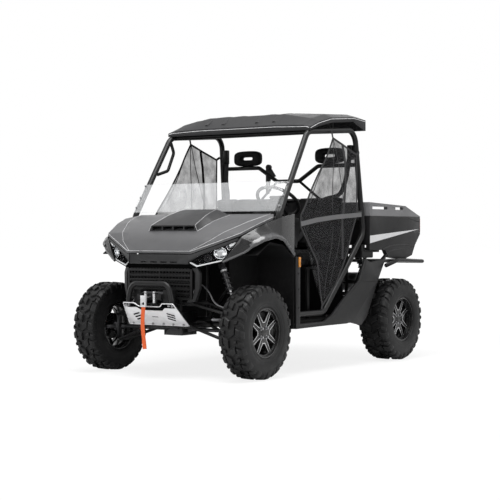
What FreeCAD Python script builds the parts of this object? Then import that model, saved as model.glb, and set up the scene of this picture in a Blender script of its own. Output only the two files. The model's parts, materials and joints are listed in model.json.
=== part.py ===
import FreeCAD, Part
import math
import os
import Sketcher
from FreeCAD import Placement, Rotation, Vector

# Driving dimensions in millimetres. Lengths along the vehicle count from the front axle,
# rearwards positive, heights from the ground, and widths from the middle plane.
DIMENSIONS = {
    "Wheels": {
        "wheelbase": 2020, "half_track": 685, "tyre_radius": 343, "bead_radius": 178,
        "front_tyre_width": 210, "rear_tyre_width": 260, "fit_gap": 0.3,
        "bead_share": 0.82, "bead_rise": 1.04, "bulge_share": 0.45, "sidewall_share": 0.98,
        "shoulder_share": 0.93, "shoulder_low": 0.94, "shoulder_high": 0.955,
        "tread_edge_share": 0.76, "tread_edge_high": 0.995, "tread_crown_share": 0.1,
        "lug_pitches": 15, "lug_depth": 16, "tread_gap_share": 0.42,
        "rim_wall": 6, "rim_well_depth": 17, "rim_well_half": 42, "rim_flange_rise": 5,
        "rim_flange_width": 6, "spoke_face_offset": 52, "spoke_face_thickness": 20,
        "spoke_window_outer": 160, "vee_window_root": 82, "gap_window_root": 50,
        "vee_window_half_angle": 23, "gap_window_half_angle": 12, "spoke_pairs": 4,
        "centre_cap_radius": 32, "centre_cap_rise": 6, "rim_hub_radius": 58,
        "hub_radius": 36, "hub_inner_offset": -20, "disc_radius": 100, "disc_thickness": 5,
        "disc_offset": -12, "hub_bore": 15.5, "hub_bore_depth": 45,
    },
    "Knuckles": {
        "kingpin_offset": -85, "upright_thickness": 20, "upright_half_width": 24,
        "lower_joint_drop": 86, "upper_joint_rise": 92, "bearing_radius": 42,
        "bearing_outer_offset": -24, "spindle_radius": 15, "spindle_reach": 20,
        "steer_arm_length": 115, "steer_arm_rise": 77, "steer_arm_thickness": 14,
        "steer_arm_half_width": 14, "caliper_inner": 62, "caliper_outer": 118,
        "caliper_half_height": 28, "caliper_half_thickness": 22,
        "caliper_slot_gap": 3,
    },
    "Suspension": {
        "arm_tube_radius": 12, "arm_bend_radius": 45, "boss_radius": 16, "boss_height": 26,
        "bush_radius": 17, "bush_length": 40, "joint_gap": 0.5,
        "lower_bush_width": 190, "lower_bush_height": 372, "lower_bush_spread": 115,
        "upper_bush_width": 190, "upper_bush_height": 540, "upper_bush_spread": 95,
        "arm_knee_width": 556, "lower_knee_spread": 45, "upper_knee_spread": 55,
        "front_shock_foot": 536, "rear_shock_foot": 505, "shock_brace_radius": 10,
        "shock_top_width": 372, "shock_top_height": 862, "shock_eye_radius": 16,
        "shock_eye_length": 36, "shock_rod_radius": 9,
        "spring_radius": 31, "spring_wire": 5,
        "shaft_radius": 14, "boot_radius": 26, "boot_length": 38, "shaft_end_width": 566,
        "shaft_inner_width": 112,
    },
    "Frame": {
        "frame_tube_radius": 16, "rail_width": 150, "rail_height": 375,
        "frame_front": -215, "frame_rear": 2240, "bulkhead_rear": 150,
        "tower_height": 900, "tower_half_width": 395, "tower_brace_radius": 13, "outrigger_front": 560,
        "outrigger_middle": 1010, "outrigger_rear": 1400, "outrigger_half_width": 698,
        "bed_rail_width": 365, "bed_rail_height": 925, "bed_rail_front": 1440,
        "post_front": 1440, "post_rear": 2190, "bed_hinge_y": 2340, "bed_hinge_z": 920,
        "bed_pin_radius": 10, "bed_ear_radius": 20, "bed_ear_thickness": 8,
        "bed_lug_thickness": 12, "plate_thickness": 5,
        "hitch_half_width": 50, "hitch_reach": 2330, "hitch_thickness": 12,
        "hitch_hole_radius": 13,
    },
    "Power train": {
        "engine_length": 380, "engine_width": 440, "engine_height": 400,
        "engine_centre_y": 1652, "engine_chamfer": 40,
        "final_drive_length": 220, "final_drive_width": 200, "final_drive_height": 190,
        "front_drive_length": 180, "front_drive_width": 170, "front_drive_height": 170,
        "prop_shaft_radius": 13,
        "muffler_radius": 85, "muffler_length": 480, "muffler_z": 640,
        "tail_pipe_radius": 22, "tail_pipe_length": 70,
    },
    "Steering": {
        "rack_bar_radius": 13, "rack_bore": 13.5,
        "rack_housing_radius": 18, "rack_housing_half": 215, "rack_bar_half": 320,
        "tie_rod_radius": 8, "tie_eye_radius": 15, "tie_eye_height": 13,
        "column_radius": 15, "column_x": 360, "pinion_x": 180, "column_top_y": 770,
        "column_top_z": 1294, "column_knee_y": 560, "column_knee_z": 1026,
        "wheel_ring_radius": 172, "wheel_ring_tube": 14, "wheel_hub_radius": 38,
        "wheel_hub_height": 30, "wheel_rise": 26, "wheel_gap": 1, "wheel_spoke_width": 30,
        "wheel_spoke_thickness": 9,
    },
    "Front end": {
        "nose_y": -265, "nose_half_width": 296, "corner_y": -106, "corner_half_width": 622,
        "hood_thickness": 18, "hood_gap": 5,
        "hood_nose_z": 930, "hood_nose_crown": 932, "hood_nose_crease": 200,
        "hood_brow_y": -190, "hood_brow_half": 449, "hood_brow_z": 990,
        "hood_brow_crown": 1012, "hood_brow_crease": 345,
        "hood_corner_z": 1060, "hood_corner_crown": 1072, "hood_corner_crease": 415,
        "hood_mid_y": 75, "hood_mid_half": 678, "hood_mid_z": 1137,
        "hood_mid_crown": 1150, "hood_mid_crease": 540,
        "hood_shoulder_y": 205, "hood_shoulder_half": 700, "hood_shoulder_z": 1180,
        "hood_shoulder_crown": 1188, "hood_shoulder_crease": 590,
        "hood_rear_y": 300, "hood_rear_half": 645, "hood_rear_z": 1204,
        "hood_rear_crown": 1208, "hood_rear_crease": 600,
        "hood_hinge_y": 308, "hood_hinge_z": 1198, "hinge_pin_radius": 4,
        "hinge_barrel_radius": 8, "hinge_lug": 12, "hinge_ear": 6, "hinge_x": 420,
        "cowl_bar_y": 318, "cowl_bar_z": 1150,
        "scoop_front_y": -92, "scoop_rear_y": 257, "scoop_front_half": 227,
        "scoop_front_top_half": 206, "scoop_rear_half": 275, "scoop_rear_top_half": 153,
        "scoop_front_rise": 44, "scoop_rear_rise": 46, "scoop_wall": 9, "scoop_rib": 12,
        "scoop_mouths": 4, "scoop_mouth_depth": 60,
        "fascia_bottom": 836, "fascia_thickness": 26, "fascia_slot_width": 62,
        "fascia_slot_height": 8, "fascia_slot_pitch": 92, "fascia_slot_z": 846,
        "grille_top": 800, "grille_bottom": 575, "grille_half_width": 300,
        "grille_thickness": 14, "grille_bar": 12, "grille_rows": 6, "grille_frame": 18,
        "lamp_inner_x": 276, "lamp_inner_z": 846, "lamp_low_x": 330, "lamp_low_z": 812,
        "lamp_bottom_x": 500, "lamp_bottom_z": 854, "lamp_tip_x": 608, "lamp_tip_z": 1008,
        "lamp_top_x": 360, "lamp_top_z": 902, "lamp_depth": 70,
        "skid_top_half": 238, "skid_bottom_half": 279, "skid_top_z": 553,
        "skid_bottom_z": 384, "skid_top_y": -392, "skid_bottom_y": -256,
        "skid_thickness": 6, "skid_scoop_half": 131, "skid_scoop_drop": 26,
        "skid_slot_length": 60, "skid_slot_width": 9, "skid_slots": 3, "skid_slot_x": 118,
        "skid_slot_z": 47, "skid_slot_pitch": 23.5, "skid_slot_slant": 20, "skid_slot_shift": 6,
        "skid_centre_slot": 76, "skid_dip_half": 98,
        "hoop_half_width": 205, "hoop_top_z": 713, "hoop_base_z": 560, "hoop_y": -366,
        "hoop_tube_radius": 19, "hoop_bend": 70, "hoop_top_share": 0.84, "hoop_foot_y": -309,
        "winch_half_width": 105, "winch_radius": 31, "winch_y": -308,
        "winch_end_width": 60, "winch_end_half": 52, "winch_end_depth": 38,
        "winch_plate_z": 545, "winch_plate_front": -345, "roller_x": 40, "roller_radius": 12,
        "fairlead_y": -366, "fairlead_half": 70, "fairlead_rise": 82, "rope_radius": 5,
        "front_bracket": 20,
        "strap_x": -17, "strap_width": 40, "strap_thickness": 4, "strap_y": -420,
        "strap_top": 524, "strap_bottom": 219, "hook_thickness": 14, "hook_height": 84,
        "hook_half_width": 24,
    },
    "Fenders": {
        "side_half_width": 742, "fender_wall": 9,
        "shut_foot_x": 508, "shut_foot_y": -163, "shut_foot_z": 852,
        "ridge_foot_x": 522, "ridge_foot_y": -157, "ridge_foot_z": 858,
        "edge_foot_x": 537, "edge_foot_y": -150, "edge_foot_z": 866,
        "shut_lamp_x": 569, "shut_lamp_y": -134, "shut_lamp_z": 941,
        "ridge_lamp_x": 607, "ridge_lamp_y": -112, "ridge_lamp_z": 940,
        "edge_lamp_x": 652, "edge_lamp_y": -86, "edge_lamp_z": 922,
        "shut_tip_x": 628, "shut_tip_y": -103, "shut_tip_z": 1034,
        "ridge_tip_x": 660, "ridge_tip_y": -78, "ridge_tip_z": 1024,
        "edge_tip_x": 722, "edge_tip_y": -42, "edge_tip_z": 978,
        "shut_rise_x": 664, "shut_rise_y": 0, "shut_rise_z": 1086,
        "ridge_rise_x": 702, "ridge_rise_y": 5, "ridge_rise_z": 1062,
        "edge_rise_x": 756, "edge_rise_y": 20, "edge_rise_z": 1010,
        "shut_crown_x": 697, "shut_crown_y": 125, "shut_crown_z": 1136,
        "ridge_crown_x": 722, "ridge_crown_y": 150, "ridge_crown_z": 1078,
        "edge_crown_x": 767, "edge_crown_y": 150, "edge_crown_z": 1031,
        "shut_turn_x": 724, "shut_turn_y": 290, "shut_turn_z": 1182,
        "ridge_turn_x": 734, "ridge_turn_y": 288, "ridge_turn_z": 1044,
        "edge_turn_x": 760, "edge_turn_y": 272, "edge_turn_z": 1008,
        "shut_door_x": 724, "shut_door_y": 462, "shut_door_z": 1208,
        "ridge_door_x": 742, "ridge_door_y": 446, "ridge_door_z": 918,
        "edge_door_x": 747, "edge_door_y": 428, "edge_door_z": 900,
        "pillar_top_z": 884, "door_front_y": 513,
        "liner_inner_x": 395, "liner_wall": 8, "liner_rear_y": 436.7,
        "liner_front_y": -40, "liner_front_z": 900, "liner_crown_y": 120,
        "liner_crown_z": 988, "liner_turn_y": 300, "liner_turn_z": 968,
        "liner_low_z": 880, "liner_foot_z": 348, "liner_wall_front": 140,
        "liner_wall_low": 600,
    },
    "Side panels": {
        "sill_bottom": 343, "sill_top": 379, "sill_rear_y": 872,
        "sill_step_y": 991, "sill_step_z": 424, "sill_rise_y": 1189, "sill_rise_z": 557,
        "seam_y": 1410, "seam_z": 678, "seam_rear_y": 1671, "seam_rear_z": 670,
        "sill_turn_y": 1283, "sill_turn_z": 350, "sill_low_y": 1426, "sill_low_z": 323,
        "quarter_low_y": 1523, "quarter_low_z": 391, "quarter_rear_y": 1704,
        "quarter_rear_z": 679, "quarter_tip_y": 1856, "quarter_tip_z": 891,
        "quarter_top_y": 1506, "quarter_top_z": 854, "quarter_dip_y": 1572,
        "quarter_dip_z": 825, "quarter_end_y": 1788, "quarter_end_z": 850,
        "pillar_front_y": 457, "panel_bevel": 12, "panel_seam": 3, "panel_seam_width": 5,
    },
    "Cab": {
        "cage_tube_radius": 22.5, "cage_half_width": 690, "cage_top_half_width": 664,
        "cage_sill_z": 446, "cage_front_y": 470, "cage_knee_z": 970,
        "cage_base_y": 262, "cage_base_z": 1133,
        "cage_top_front_y": 735, "cage_top_front_z": 1846, "cage_top_rear_y": 1450,
        "cage_top_rear_z": 1898, "cage_waist_y": 1545, "cage_waist_z": 1060,
        "cage_diagonal_y": 925, "cage_bend": 110,
        "floor_thickness": 8, "floor_half_width": 655,
        "firewall_y": 445, "firewall_thickness": 14, "firewall_top": 1165,
        "seat_base_front": 775, "seat_base_rear": 1330, "seat_base_top": 800,
        "seat_base_half": 628, "seat_base_wall": 15, "seat_post_x": 605,
        "seat_post_y": 830, "seat_post_radius": 16,
        "cushion_front": 712, "cushion_rear": 1300, "cushion_top": 930, "cushion_half": 620,
        "seat_back_y": 1290, "seat_back_lean": 120, "seat_back_thickness": 110,
        "seat_back_top": 1367,
        "headrest_x": 410, "headrest_half": 140, "headrest_height": 130, "headrest_thickness": 60,
        "headrest_slot_half": 90, "headrest_slot_height": 26,
        "rest_bar_outer_z": 1620, "rest_bar_inner_z": 1500, "rest_bar_y": 1485,
        "rest_bar_knee": 295, "rest_bar_middle": 110, "rest_bar_radius": 17,
        "rest_brace_x": 470, "rest_brace_radius": 11,
        "dash_front": 345, "dash_lip_z": 1150, "dash_lip_top": 1174, "dash_crest_y": 480,
        "dash_top": 1190, "dash_brow_y": 622, "dash_brow_z": 1176, "dash_rear": 646,
        "dash_rear_z": 1128, "dash_foot_y": 588, "dash_bottom": 950,
        "dash_half": 655.3, "dash_wall": 10, "dash_end": 6,
        "screen_bottom_half": 706, "screen_top_half": 690, "screen_bottom_z": 1226,
        "screen_top_z": 1452,
        "screen_thickness": 6,
        "roof_half_width": 690, "roof_shoulder": 622, "roof_ridge": 360, "roof_wall": 10,
        "roof_front_y": 735, "roof_front_low": 1856, "roof_front_side": 1884,
        "roof_front_shoulder": 1898, "roof_front_top": 1906,
        "roof_brow_y": 865, "roof_brow_low": 1893, "roof_brow_side": 1930,
        "roof_brow_shoulder": 1958, "roof_brow_top": 2002,
        "roof_rise_y": 1050, "roof_rise_low": 1932, "roof_rise_side": 1972,
        "roof_rise_shoulder": 2004, "roof_rise_top": 2022,
        "roof_back_y": 1400, "roof_back_low": 1962, "roof_back_side": 2000,
        "roof_back_shoulder": 2024, "roof_back_top": 2030,
        "roof_rear_y": 1585, "roof_rear_low": 1900, "roof_rear_side": 1985,
        "roof_rear_shoulder": 2012, "roof_rear_top": 2018,
        "roof_pad_x": 470, "roof_pad_half": 24,
        "handle_x": 672, "handle_radius": 13, "handle_bend": 40,
        "handle_low_y": 571, "handle_low_z": 1540, "handle_elbow_y": 706,
        "handle_elbow_z": 1575, "handle_knee_y": 786, "handle_knee_z": 1726,
        "handle_top_y": 747, "handle_top_z": 1805,
        "belt_width": 44, "belt_height": 120, "belt_depth": 45, "belt_bottom": 1660,
        "belt_gap": 10,
        "pedal_x": 400, "pedal_width": 60, "pedal_height": 80, "pedal_thickness": 12,
    },
    "Side nets": {
        "net_thickness": 5, "net_half_width": 695,
        "net_top_y": 1055, "net_top_z": 1811, "net_rear_y": 1425, "net_rear_top_z": 1696,
        "net_rear_mid_z": 1211, "net_hip_y": 1280, "net_hip_z": 929, "net_shin_y": 1097.6,
        "net_shin_z": 648.3, "net_foot_y": 892, "net_foot_z": 500, "net_knee_y": 833,
        "net_knee_z": 840, "net_front_y": 578, "net_front_low_z": 1118,
        "net_front_top_z": 1196, "net_brow_y": 930, "net_brow_z": 1625,
    },
    "Cargo bed": {
        "bed_front": 1575, "bed_rear": 2452, "bed_half_width": 735, "bed_wall": 35,
        "bed_floor_bottom": 966, "bed_floor_thickness": 24, "bed_front_top": 1318,
        "bed_rear_top": 1210, "bed_shoulder_y": 2187, "bed_shoulder_z": 1296,
        "bed_side_front_z": 925, "bed_side_front_y": 1835,
        "bed_side_drop_y": 1885, "bed_side_drop_z": 866, "bed_side_low_y": 2029,
        "bed_side_low_z": 847, "bed_side_rise_y": 2188, "bed_side_rise_z": 849,
        "bed_side_rear_y": 2305, "bed_side_rear_z": 877, "bed_side_heel_y": 2360,
        "bed_side_heel_z": 963, "bed_tail_z": 1058,
        "rail_slot_z": 1262, "rail_slot_height": 22, "long_slot_front": 1620,
        "long_slot_rear": 1872, "short_slot_front": 2010, "short_slot_rear": 2151,
        "bed_rest_front": 1700, "bed_rest_length": 60, "bed_rest_half": 20,
        "gate_thickness": 30, "gate_gap": 6, "gate_top": 1208, "gate_hinge_z": 996,
        "gate_hinge_radius": 8, "gate_pin_radius": 4, "gate_hinge_inner": 300,
        "gate_hinge_outer": 560, "gate_barrel_half": 20, "gate_sill_gap": 12,
        "tail_lamp_height": 110, "tail_lamp_depth": 8, "tail_lamp_z": 1080,
        "bumper_y": 2495, "bumper_z": 822, "bumper_half_width": 757, "bumper_radius": 17,
        "bumper_bend": 60, "bumper_side_y": 2011, "bumper_side_z": 839,
        "bumper_base_y": 1810, "bumper_base_z": 797,
        "bumper_arm_x": 400, "bumper_arm_length": 90, "bumper_foot_x": 300,
        "bumper_foot_z": 760, "bumper_arm_radius": 14,
        "marker_width": 10, "marker_y": 497, "marker_length": 22, "marker_bottom": 808,
    },
}

doc = FreeCAD.newDocument("side_by_side_utv")
sheet = doc.addObject("Spreadsheet::Sheet", "Sizes")
nodes = []


class Size:
    """A number together with the sheet expression that it comes from."""

    def __init__(self, value, text):
        self.value = float(value)
        self.text = text

    def __float__(self):
        return self.value

    def __add__(self, other):
        return Size(self.value + float(other), f"({self.text} + {size(other).text})")

    def __radd__(self, other):
        return size(other) + self

    def __sub__(self, other):
        return Size(self.value - float(other), f"({self.text} - {size(other).text})")

    def __rsub__(self, other):
        return size(other) - self

    def __mul__(self, other):
        return Size(self.value * float(other), f"({self.text} * {size(other).text})")

    def __rmul__(self, other):
        return size(other) * self

    def __truediv__(self, other):
        return Size(self.value / float(other), f"({self.text} / {size(other).text})")

    def __neg__(self):
        return Size(-self.value, f"(-{self.text})")


class Sheet:
    """The driving dimensions, read as attributes."""


def size(number):
    """Give a plain number the same form as a sheet size."""
    if isinstance(number, Size):
        return number
    return Size(number, f"({float(number):.12g})")


def fill_sheet():
    """Write every driving dimension to the sheet and return them by name."""
    found = Sheet()
    row = 1
    for group, sizes in DIMENSIONS.items():
        sheet.set(f"A{row}", group)
        row += 1
        for name, value in sizes.items():
            sheet.set(f"A{row}", name)
            sheet.set(f"B{row}", str(value))
            sheet.setAlias(f"B{row}", name)
            setattr(found, name, Size(value, f"Sizes.{name}"))
            row += 1
    return found


s = fill_sheet()
# The origin lies under the middle of the outline, between the strap's and the bumper's faces.
axle_shift = -(s.strap_y - s.strap_thickness / 2 + s.bumper_y + s.bumper_radius) / 2
SIDES = {"left": 1, "right": -1}
panel_inner = s.cage_half_width + s.cage_tube_radius + s.fit_gap
pillar_top = s.pillar_top_z - s.fit_gap
muffler_y = s.post_rear + s.frame_tube_radius + s.muffler_radius + s.fit_gap
engine_bottom = s.rail_height + s.frame_tube_radius + s.fit_gap
floor_bottom = engine_bottom
bar_radius = s.cage_tube_radius * 0.85
waist_bar_z = s.cage_waist_z + s.cage_bend


def bind(item, **sizes):
    """Bind properties of an object to sheet expressions."""
    for name, value in sizes.items():
        item.setExpression(name.replace("__", "."), size(value).text)


def node(item, label, x=0, y=axle_shift, z=0, turn=Rotation()):
    """Name a finished sub-part and set it at its place in the vehicle's frame."""
    item.Label = label
    item.Placement = Placement(Vector(), turn)
    bind(item, Placement__Base__x=x, Placement__Base__y=y, Placement__Base__z=z)
    nodes.append(item)
    return item


def feature(label, shape):
    """Make a sub-part from a shape built with Part's own functions."""
    item = doc.addObject("Part::Feature", label)
    item.Shape = shape
    return node(item, label)


def new_body(name):
    return doc.addObject("PartDesign::Body", name)


def point(x, y, z):
    return Vector(float(x), float(y), float(z))


def draw(sketch, outline):
    """Add a closed outline whose corners are held by sheet-bound distances."""
    first = len(sketch.Geometry)
    count = len(outline)
    corners = [Vector(float(u), float(v), 0) for u, v in outline]
    for index in range(count):
        sketch.addGeometry(Part.LineSegment(corners[index], corners[(index + 1) % count]))
    for index in range(count):
        following = first + (index + 1) % count
        sketch.addConstraint(Sketcher.Constraint("Coincident", first + index, 2, following, 1))
        for kind, value in zip(("DistanceX", "DistanceY"), outline[index]):
            held = Sketcher.Constraint(kind, -1, 1, first + index, 1, float(value))
            number = sketch.addConstraint(held)
            sketch.setExpression(f"Constraints[{number}]", size(value).text)


def draw_circle(sketch, centre, radius):
    """Add a circle held by its centre and radius."""
    first = len(sketch.Geometry)
    middle = Vector(float(centre[0]), float(centre[1]), 0)
    sketch.addGeometry(Part.Circle(middle, Vector(0, 0, 1), float(radius)))
    for kind, value in zip(("DistanceX", "DistanceY"), centre):
        number = sketch.addConstraint(Sketcher.Constraint(kind, -1, 1, first, 3, float(value)))
        sketch.setExpression(f"Constraints[{number}]", size(value).text)
    number = sketch.addConstraint(Sketcher.Constraint("Radius", first, float(radius)))
    sketch.setExpression(f"Constraints[{number}]", size(radius).text)


def new_sketch(body, plane, offset, outlines=(), circles=()):
    """Attach a sketch to one of the body's own origin planes."""
    sketch = body.newObject("Sketcher::SketchObject", f"{body.Name}_sketch")
    for origin_plane in body.Origin.OriginFeatures:
        if origin_plane.Role == plane:
            sketch.AttachmentSupport = (origin_plane, [""])
    sketch.MapMode = "FlatFace"
    bind(sketch, **{".AttachmentOffset__Base__z": offset})
    for outline in outlines:
        draw(sketch, outline)
    for centre, radius in circles:
        draw_circle(sketch, centre, radius)
    return sketch


def span_start(plane, start, end):
    """Where a pad of the span begins along the plane's own normal."""
    return -end if plane == "XZ_Plane" else start


def pad(body, plane, start, end, outlines=(), circles=()):
    """Pad outlines between two distances measured along the vehicle's own axis."""
    sketch = new_sketch(body, plane, span_start(plane, size(start), size(end)), outlines, circles)
    grown = body.newObject("PartDesign::Pad", f"{body.Name}_pad")
    grown.Profile = sketch
    bind(grown, Length=size(end) - start)
    body.Tip = grown
    return grown


def pocket(body, plane, start, end, outlines=(), circles=()):
    """Cut outlines away between two distances measured along the vehicle's own axis."""
    sketch = new_sketch(body, plane, span_start(plane, size(start), size(end)), outlines, circles)
    cut = body.newObject("PartDesign::Pocket", f"{body.Name}_pocket")
    cut.Profile = sketch
    cut.Reversed = True
    bind(cut, Length=size(end) - start)
    body.Tip = cut
    return cut


def revolve(body, outline):
    """Turn an outline of (distance along X, radius) pairs round the body's X axis."""
    sketch = new_sketch(body, "XY_Plane", 0, [outline])
    turned = body.newObject("PartDesign::Revolution", f"{body.Name}_revolution")
    turned.Profile = sketch
    turned.ReferenceAxis = (sketch, ["H_Axis"])
    turned.Angle = 360
    body.Tip = turned
    return turned


def ring_pattern(body, features, count):
    """Repeat features evenly round the body's X axis."""
    pattern = body.newObject("PartDesign::PolarPattern", f"{body.Name}_pattern")
    pattern.Originals = features
    pattern.Axis = (features[0].Profile[0], ["N_Axis"])
    pattern.Angle = 360
    bind(pattern, Occurrences=count)
    body.Tip = pattern
    return pattern


def soften(body, direction, radius):
    """Round every straight edge of the body that runs along a direction."""
    doc.recompute()
    base = body.Tip
    names = []
    for number, edge in enumerate(base.Shape.Edges, 1):
        if edge.Curve.TypeId == "Part::GeomLine" and abs(edge.Curve.Direction.dot(direction)) > 0.999:
            names.append(f"Edge{number}")
    rounded = body.newObject("PartDesign::Fillet", f"{body.Name}_fillet")
    rounded.Base = (base, names)
    bind(rounded, Radius=radius)
    body.Tip = rounded
    return rounded


def slab(x_span, y_span, z_span):
    """A box between the given limits, as a shape."""
    corner = point(x_span[0], y_span[0], z_span[0])
    lengths = [float(span[1]) - float(span[0]) for span in (x_span, y_span, z_span)]
    return Part.makeBox(*lengths, corner)


def rod(start, end, radius):
    """A straight round bar between two points."""
    run = end - start
    return Part.makeCylinder(float(radius), run.Length, start, run)


def tube(points, radius, bend):
    """A round bar along straight runs that are joined by tangent arcs."""
    edges = []
    last = points[0]
    for before, corner, after in zip(points, points[1:], points[2:]):
        arriving = (corner - before).normalize()
        leaving = (after - corner).normalize()
        turn = arriving.getAngle(leaving)
        room = 0.45 * min((corner - before).Length, (after - corner).Length)
        reach = min(float(bend) * math.tan(turn / 2), room)
        arc_radius = reach / math.tan(turn / 2)
        start = corner - arriving * reach
        end = corner + leaving * reach
        inward = (leaving - arriving).normalize()
        centre = corner + inward * (arc_radius / math.cos(turn / 2))
        middle = centre - inward * arc_radius
        edges.append(Part.LineSegment(last, start).toShape())
        edges.append(Part.Arc(start, middle, end).toShape())
        last = end
    edges.append(Part.LineSegment(last, points[-1]).toShape())
    section = Part.Wire(Part.makeCircle(float(radius), points[0], points[1] - points[0]))
    return Part.Wire(edges).makePipeShell([section], True, True)


def fused(shapes):
    """One solid from shapes that meet."""
    return shapes[0].multiFuse(shapes[1:]).removeSplitter()


def mirrored(shape):
    return shape.mirror(Vector(0, 0, 0), Vector(1, 0, 0))


def both_sides(shape):
    """The left shape and its mirror image as two solids of one sub-part."""
    return Part.Compound([shape, mirrored(shape)])


def prism(axis, outline, start, end):
    """Extrude an outline along X, Y or Z between two distances."""
    place = {
        "x": lambda u, v, along: point(along, u, v),
        "y": lambda u, v, along: point(u, along, v),
        "z": lambda u, v, along: point(u, v, along),
    }[axis]
    corners = [place(u, v, start) for u, v in outline]
    face = Part.Face(Part.makePolygon(corners + corners[:1]))
    return face.extrude(place(0, 0, end) - place(0, 0, start))


def pair(label, body):
    """A sub-part of the body made for the left side and its mirror image."""
    right = doc.addObject("Part::Mirroring", f"{label}_right_half")
    right.Source = body
    right.Normal = Vector(1, 0, 0)
    both = doc.addObject("Part::Compound", label)
    both.Links = [body, right]
    return node(both, label)


# Wheels, each about its own centre and with its axis along X.
def tyre_rows(half):
    """Half profile from bead to tread: share of the width, groove radius, lug radius."""
    low = s.tyre_radius - s.lug_depth
    bead = s.bead_radius
    bulge = bead + (low - bead) * s.bulge_share
    foot = bead * s.bead_rise
    return [
        (half * s.bead_share - s.fit_gap, foot, foot),
        (half * s.sidewall_share, bulge, bulge),
        (half * s.shoulder_share, low * s.shoulder_low, s.tyre_radius * s.shoulder_high),
        (half * s.tread_edge_share, low, s.tyre_radius * s.tread_edge_high),
        (half * s.tread_crown_share, low, s.tyre_radius),
    ]


def tread_angles(side, row):
    """Where each lug starts and ends round the wheel; the two sides are staggered."""
    pitch = 2 * math.pi / int(s.lug_pitches.value)
    shift = pitch * (0.25 * side + 0.07 * row)
    gap = s.tread_gap_share.value
    marks = [0, gap * 0.7, gap, 1 - gap * 0.3]
    return [(number * pitch + shift + mark * pitch, index in (2, 3))
            for number in range(int(s.lug_pitches.value)) for index, mark in enumerate(marks)]


def facets(rows):
    """One solid from closed rings of as many points each, the last ring joined to the first."""
    faces = []
    for ring, following in zip(rows, rows[1:] + rows[:1]):
        count = len(ring)
        for number in range(count):
            after = (number + 1) % count
            for corners in ((ring[number], ring[after], following[after]),
                            (ring[number], following[after], following[number])):
                faces.append(Part.Face(Part.makePolygon(list(corners) + [corners[0]])))
    solid = Part.makeSolid(Part.makeShell(faces))
    if solid.Volume < 0:
        solid.reverse()
    return solid


def make_tyre(label, x, y, width):
    """A tyre with staggered lugs, as a ring of flat facets round its rim's seat."""
    half = width / 2
    rows = []
    for side in (-1, 1):
        rings = []
        for number, (u, groove, lug) in enumerate(tyre_rows(half)):
            ring = []
            for angle, raised in tread_angles(side, number):
                radius = float(lug if raised else groove)
                ring.append(point(u * side, radius * math.sin(angle), radius * math.cos(angle)))
            rings.append(ring)
        rows.append(rings)
    count = len(rows[0][0])
    step = 2 * math.pi / count
    bore = float(s.bead_radius + s.fit_gap) / math.cos(step / 2)
    inner = [[point(rows[side][0][0].x, bore * math.sin(step * number), bore * math.cos(step * number))
              for number in range(count)] for side in (1, 0)]
    item = doc.addObject("Part::Feature", label)
    item.Shape = facets(rows[0] + rows[1][::-1] + inner)
    return node(item, label, x, y + axle_shift, s.tyre_radius)


def make_rim(label, x, y, width, side):
    """Barrel, hub and brake disc turned in one outline, with a face cut into spokes."""
    body = new_body(label)
    edge = width / 2 * s.bead_share
    seat = s.bead_radius
    well = seat - s.rim_well_depth
    flange = seat + s.rim_flange_rise
    wall = s.rim_wall
    near = s.rim_well_half
    lip = edge + s.rim_flange_width
    outer = [
        (-lip, flange), (-edge, flange), (-edge, seat), (-near * 1.3, seat), (-near, well),
        (near * 0.6, well), (near, seat), (edge, seat), (edge, flange), (lip, flange),
    ]
    inner = [
        (lip, seat - wall), (near, seat - wall), (near * 0.6, well - wall),
        (-near, well - wall), (-near * 1.3, seat - wall), (-lip, seat - wall),
    ]
    revolve(body, [(u * side, radius) for u, radius in outer + inner])
    face = s.spoke_face_offset
    back = face + s.spoke_face_thickness
    low, high = sorted((face * side, back * side), key=float)
    pad(body, "YZ_Plane", low, high, circles=[((0, 0), seat - wall / 2)])
    vee = window(s.vee_window_root, s.vee_window_half_angle, 0)
    gap = window(s.gap_window_root, s.gap_window_half_angle, 45)
    first = pocket(body, "YZ_Plane", low, high, [vee])
    second = pocket(body, "YZ_Plane", low, high, [gap])
    ring_pattern(body, [first, second], s.spoke_pairs)
    disc_low = s.disc_offset - s.disc_thickness
    hub = [
        (s.hub_inner_offset, s.hub_bore), (s.hub_inner_offset, s.hub_radius),
        (disc_low, s.hub_radius), (disc_low, s.disc_radius), (s.disc_offset, s.disc_radius),
        (s.disc_offset, s.hub_radius), (face, s.hub_radius), (face, s.rim_hub_radius),
        (back, s.rim_hub_radius), (back, s.centre_cap_radius),
        (back + s.centre_cap_rise, s.centre_cap_radius - s.centre_cap_rise),
        (back + s.centre_cap_rise, 0), (s.hub_bore_depth, 0), (s.hub_bore_depth, s.hub_bore),
    ]
    revolve(body, [(u * side, radius) for u, radius in hub])
    return node(body, label, x, y + axle_shift, s.tyre_radius)


def window(root, half_angle, turn):
    """A four-cornered window of the wheel face, pointed towards the hub."""
    spread = math.radians(float(half_angle))
    heading = math.radians(turn)
    outer = s.spoke_window_outer
    corners = [
        (root, -spread / 3), (outer, -spread), (outer * 1.02, 0), (outer, spread),
        (root, spread / 3),
    ]
    return [
        (radius * math.sin(heading + angle), radius * math.cos(heading + angle))
        for radius, angle in corners
    ]


def make_wheels():
    for end, y, width in (("front", 0, s.front_tyre_width), ("rear", s.wheelbase, s.rear_tyre_width)):
        for side, sign in SIDES.items():
            make_tyre(f"tyre_{end}_{side}", s.half_track * sign, y, width)
            make_rim(f"rim_{end}_{side}", s.half_track * sign, y, width, sign)


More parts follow.
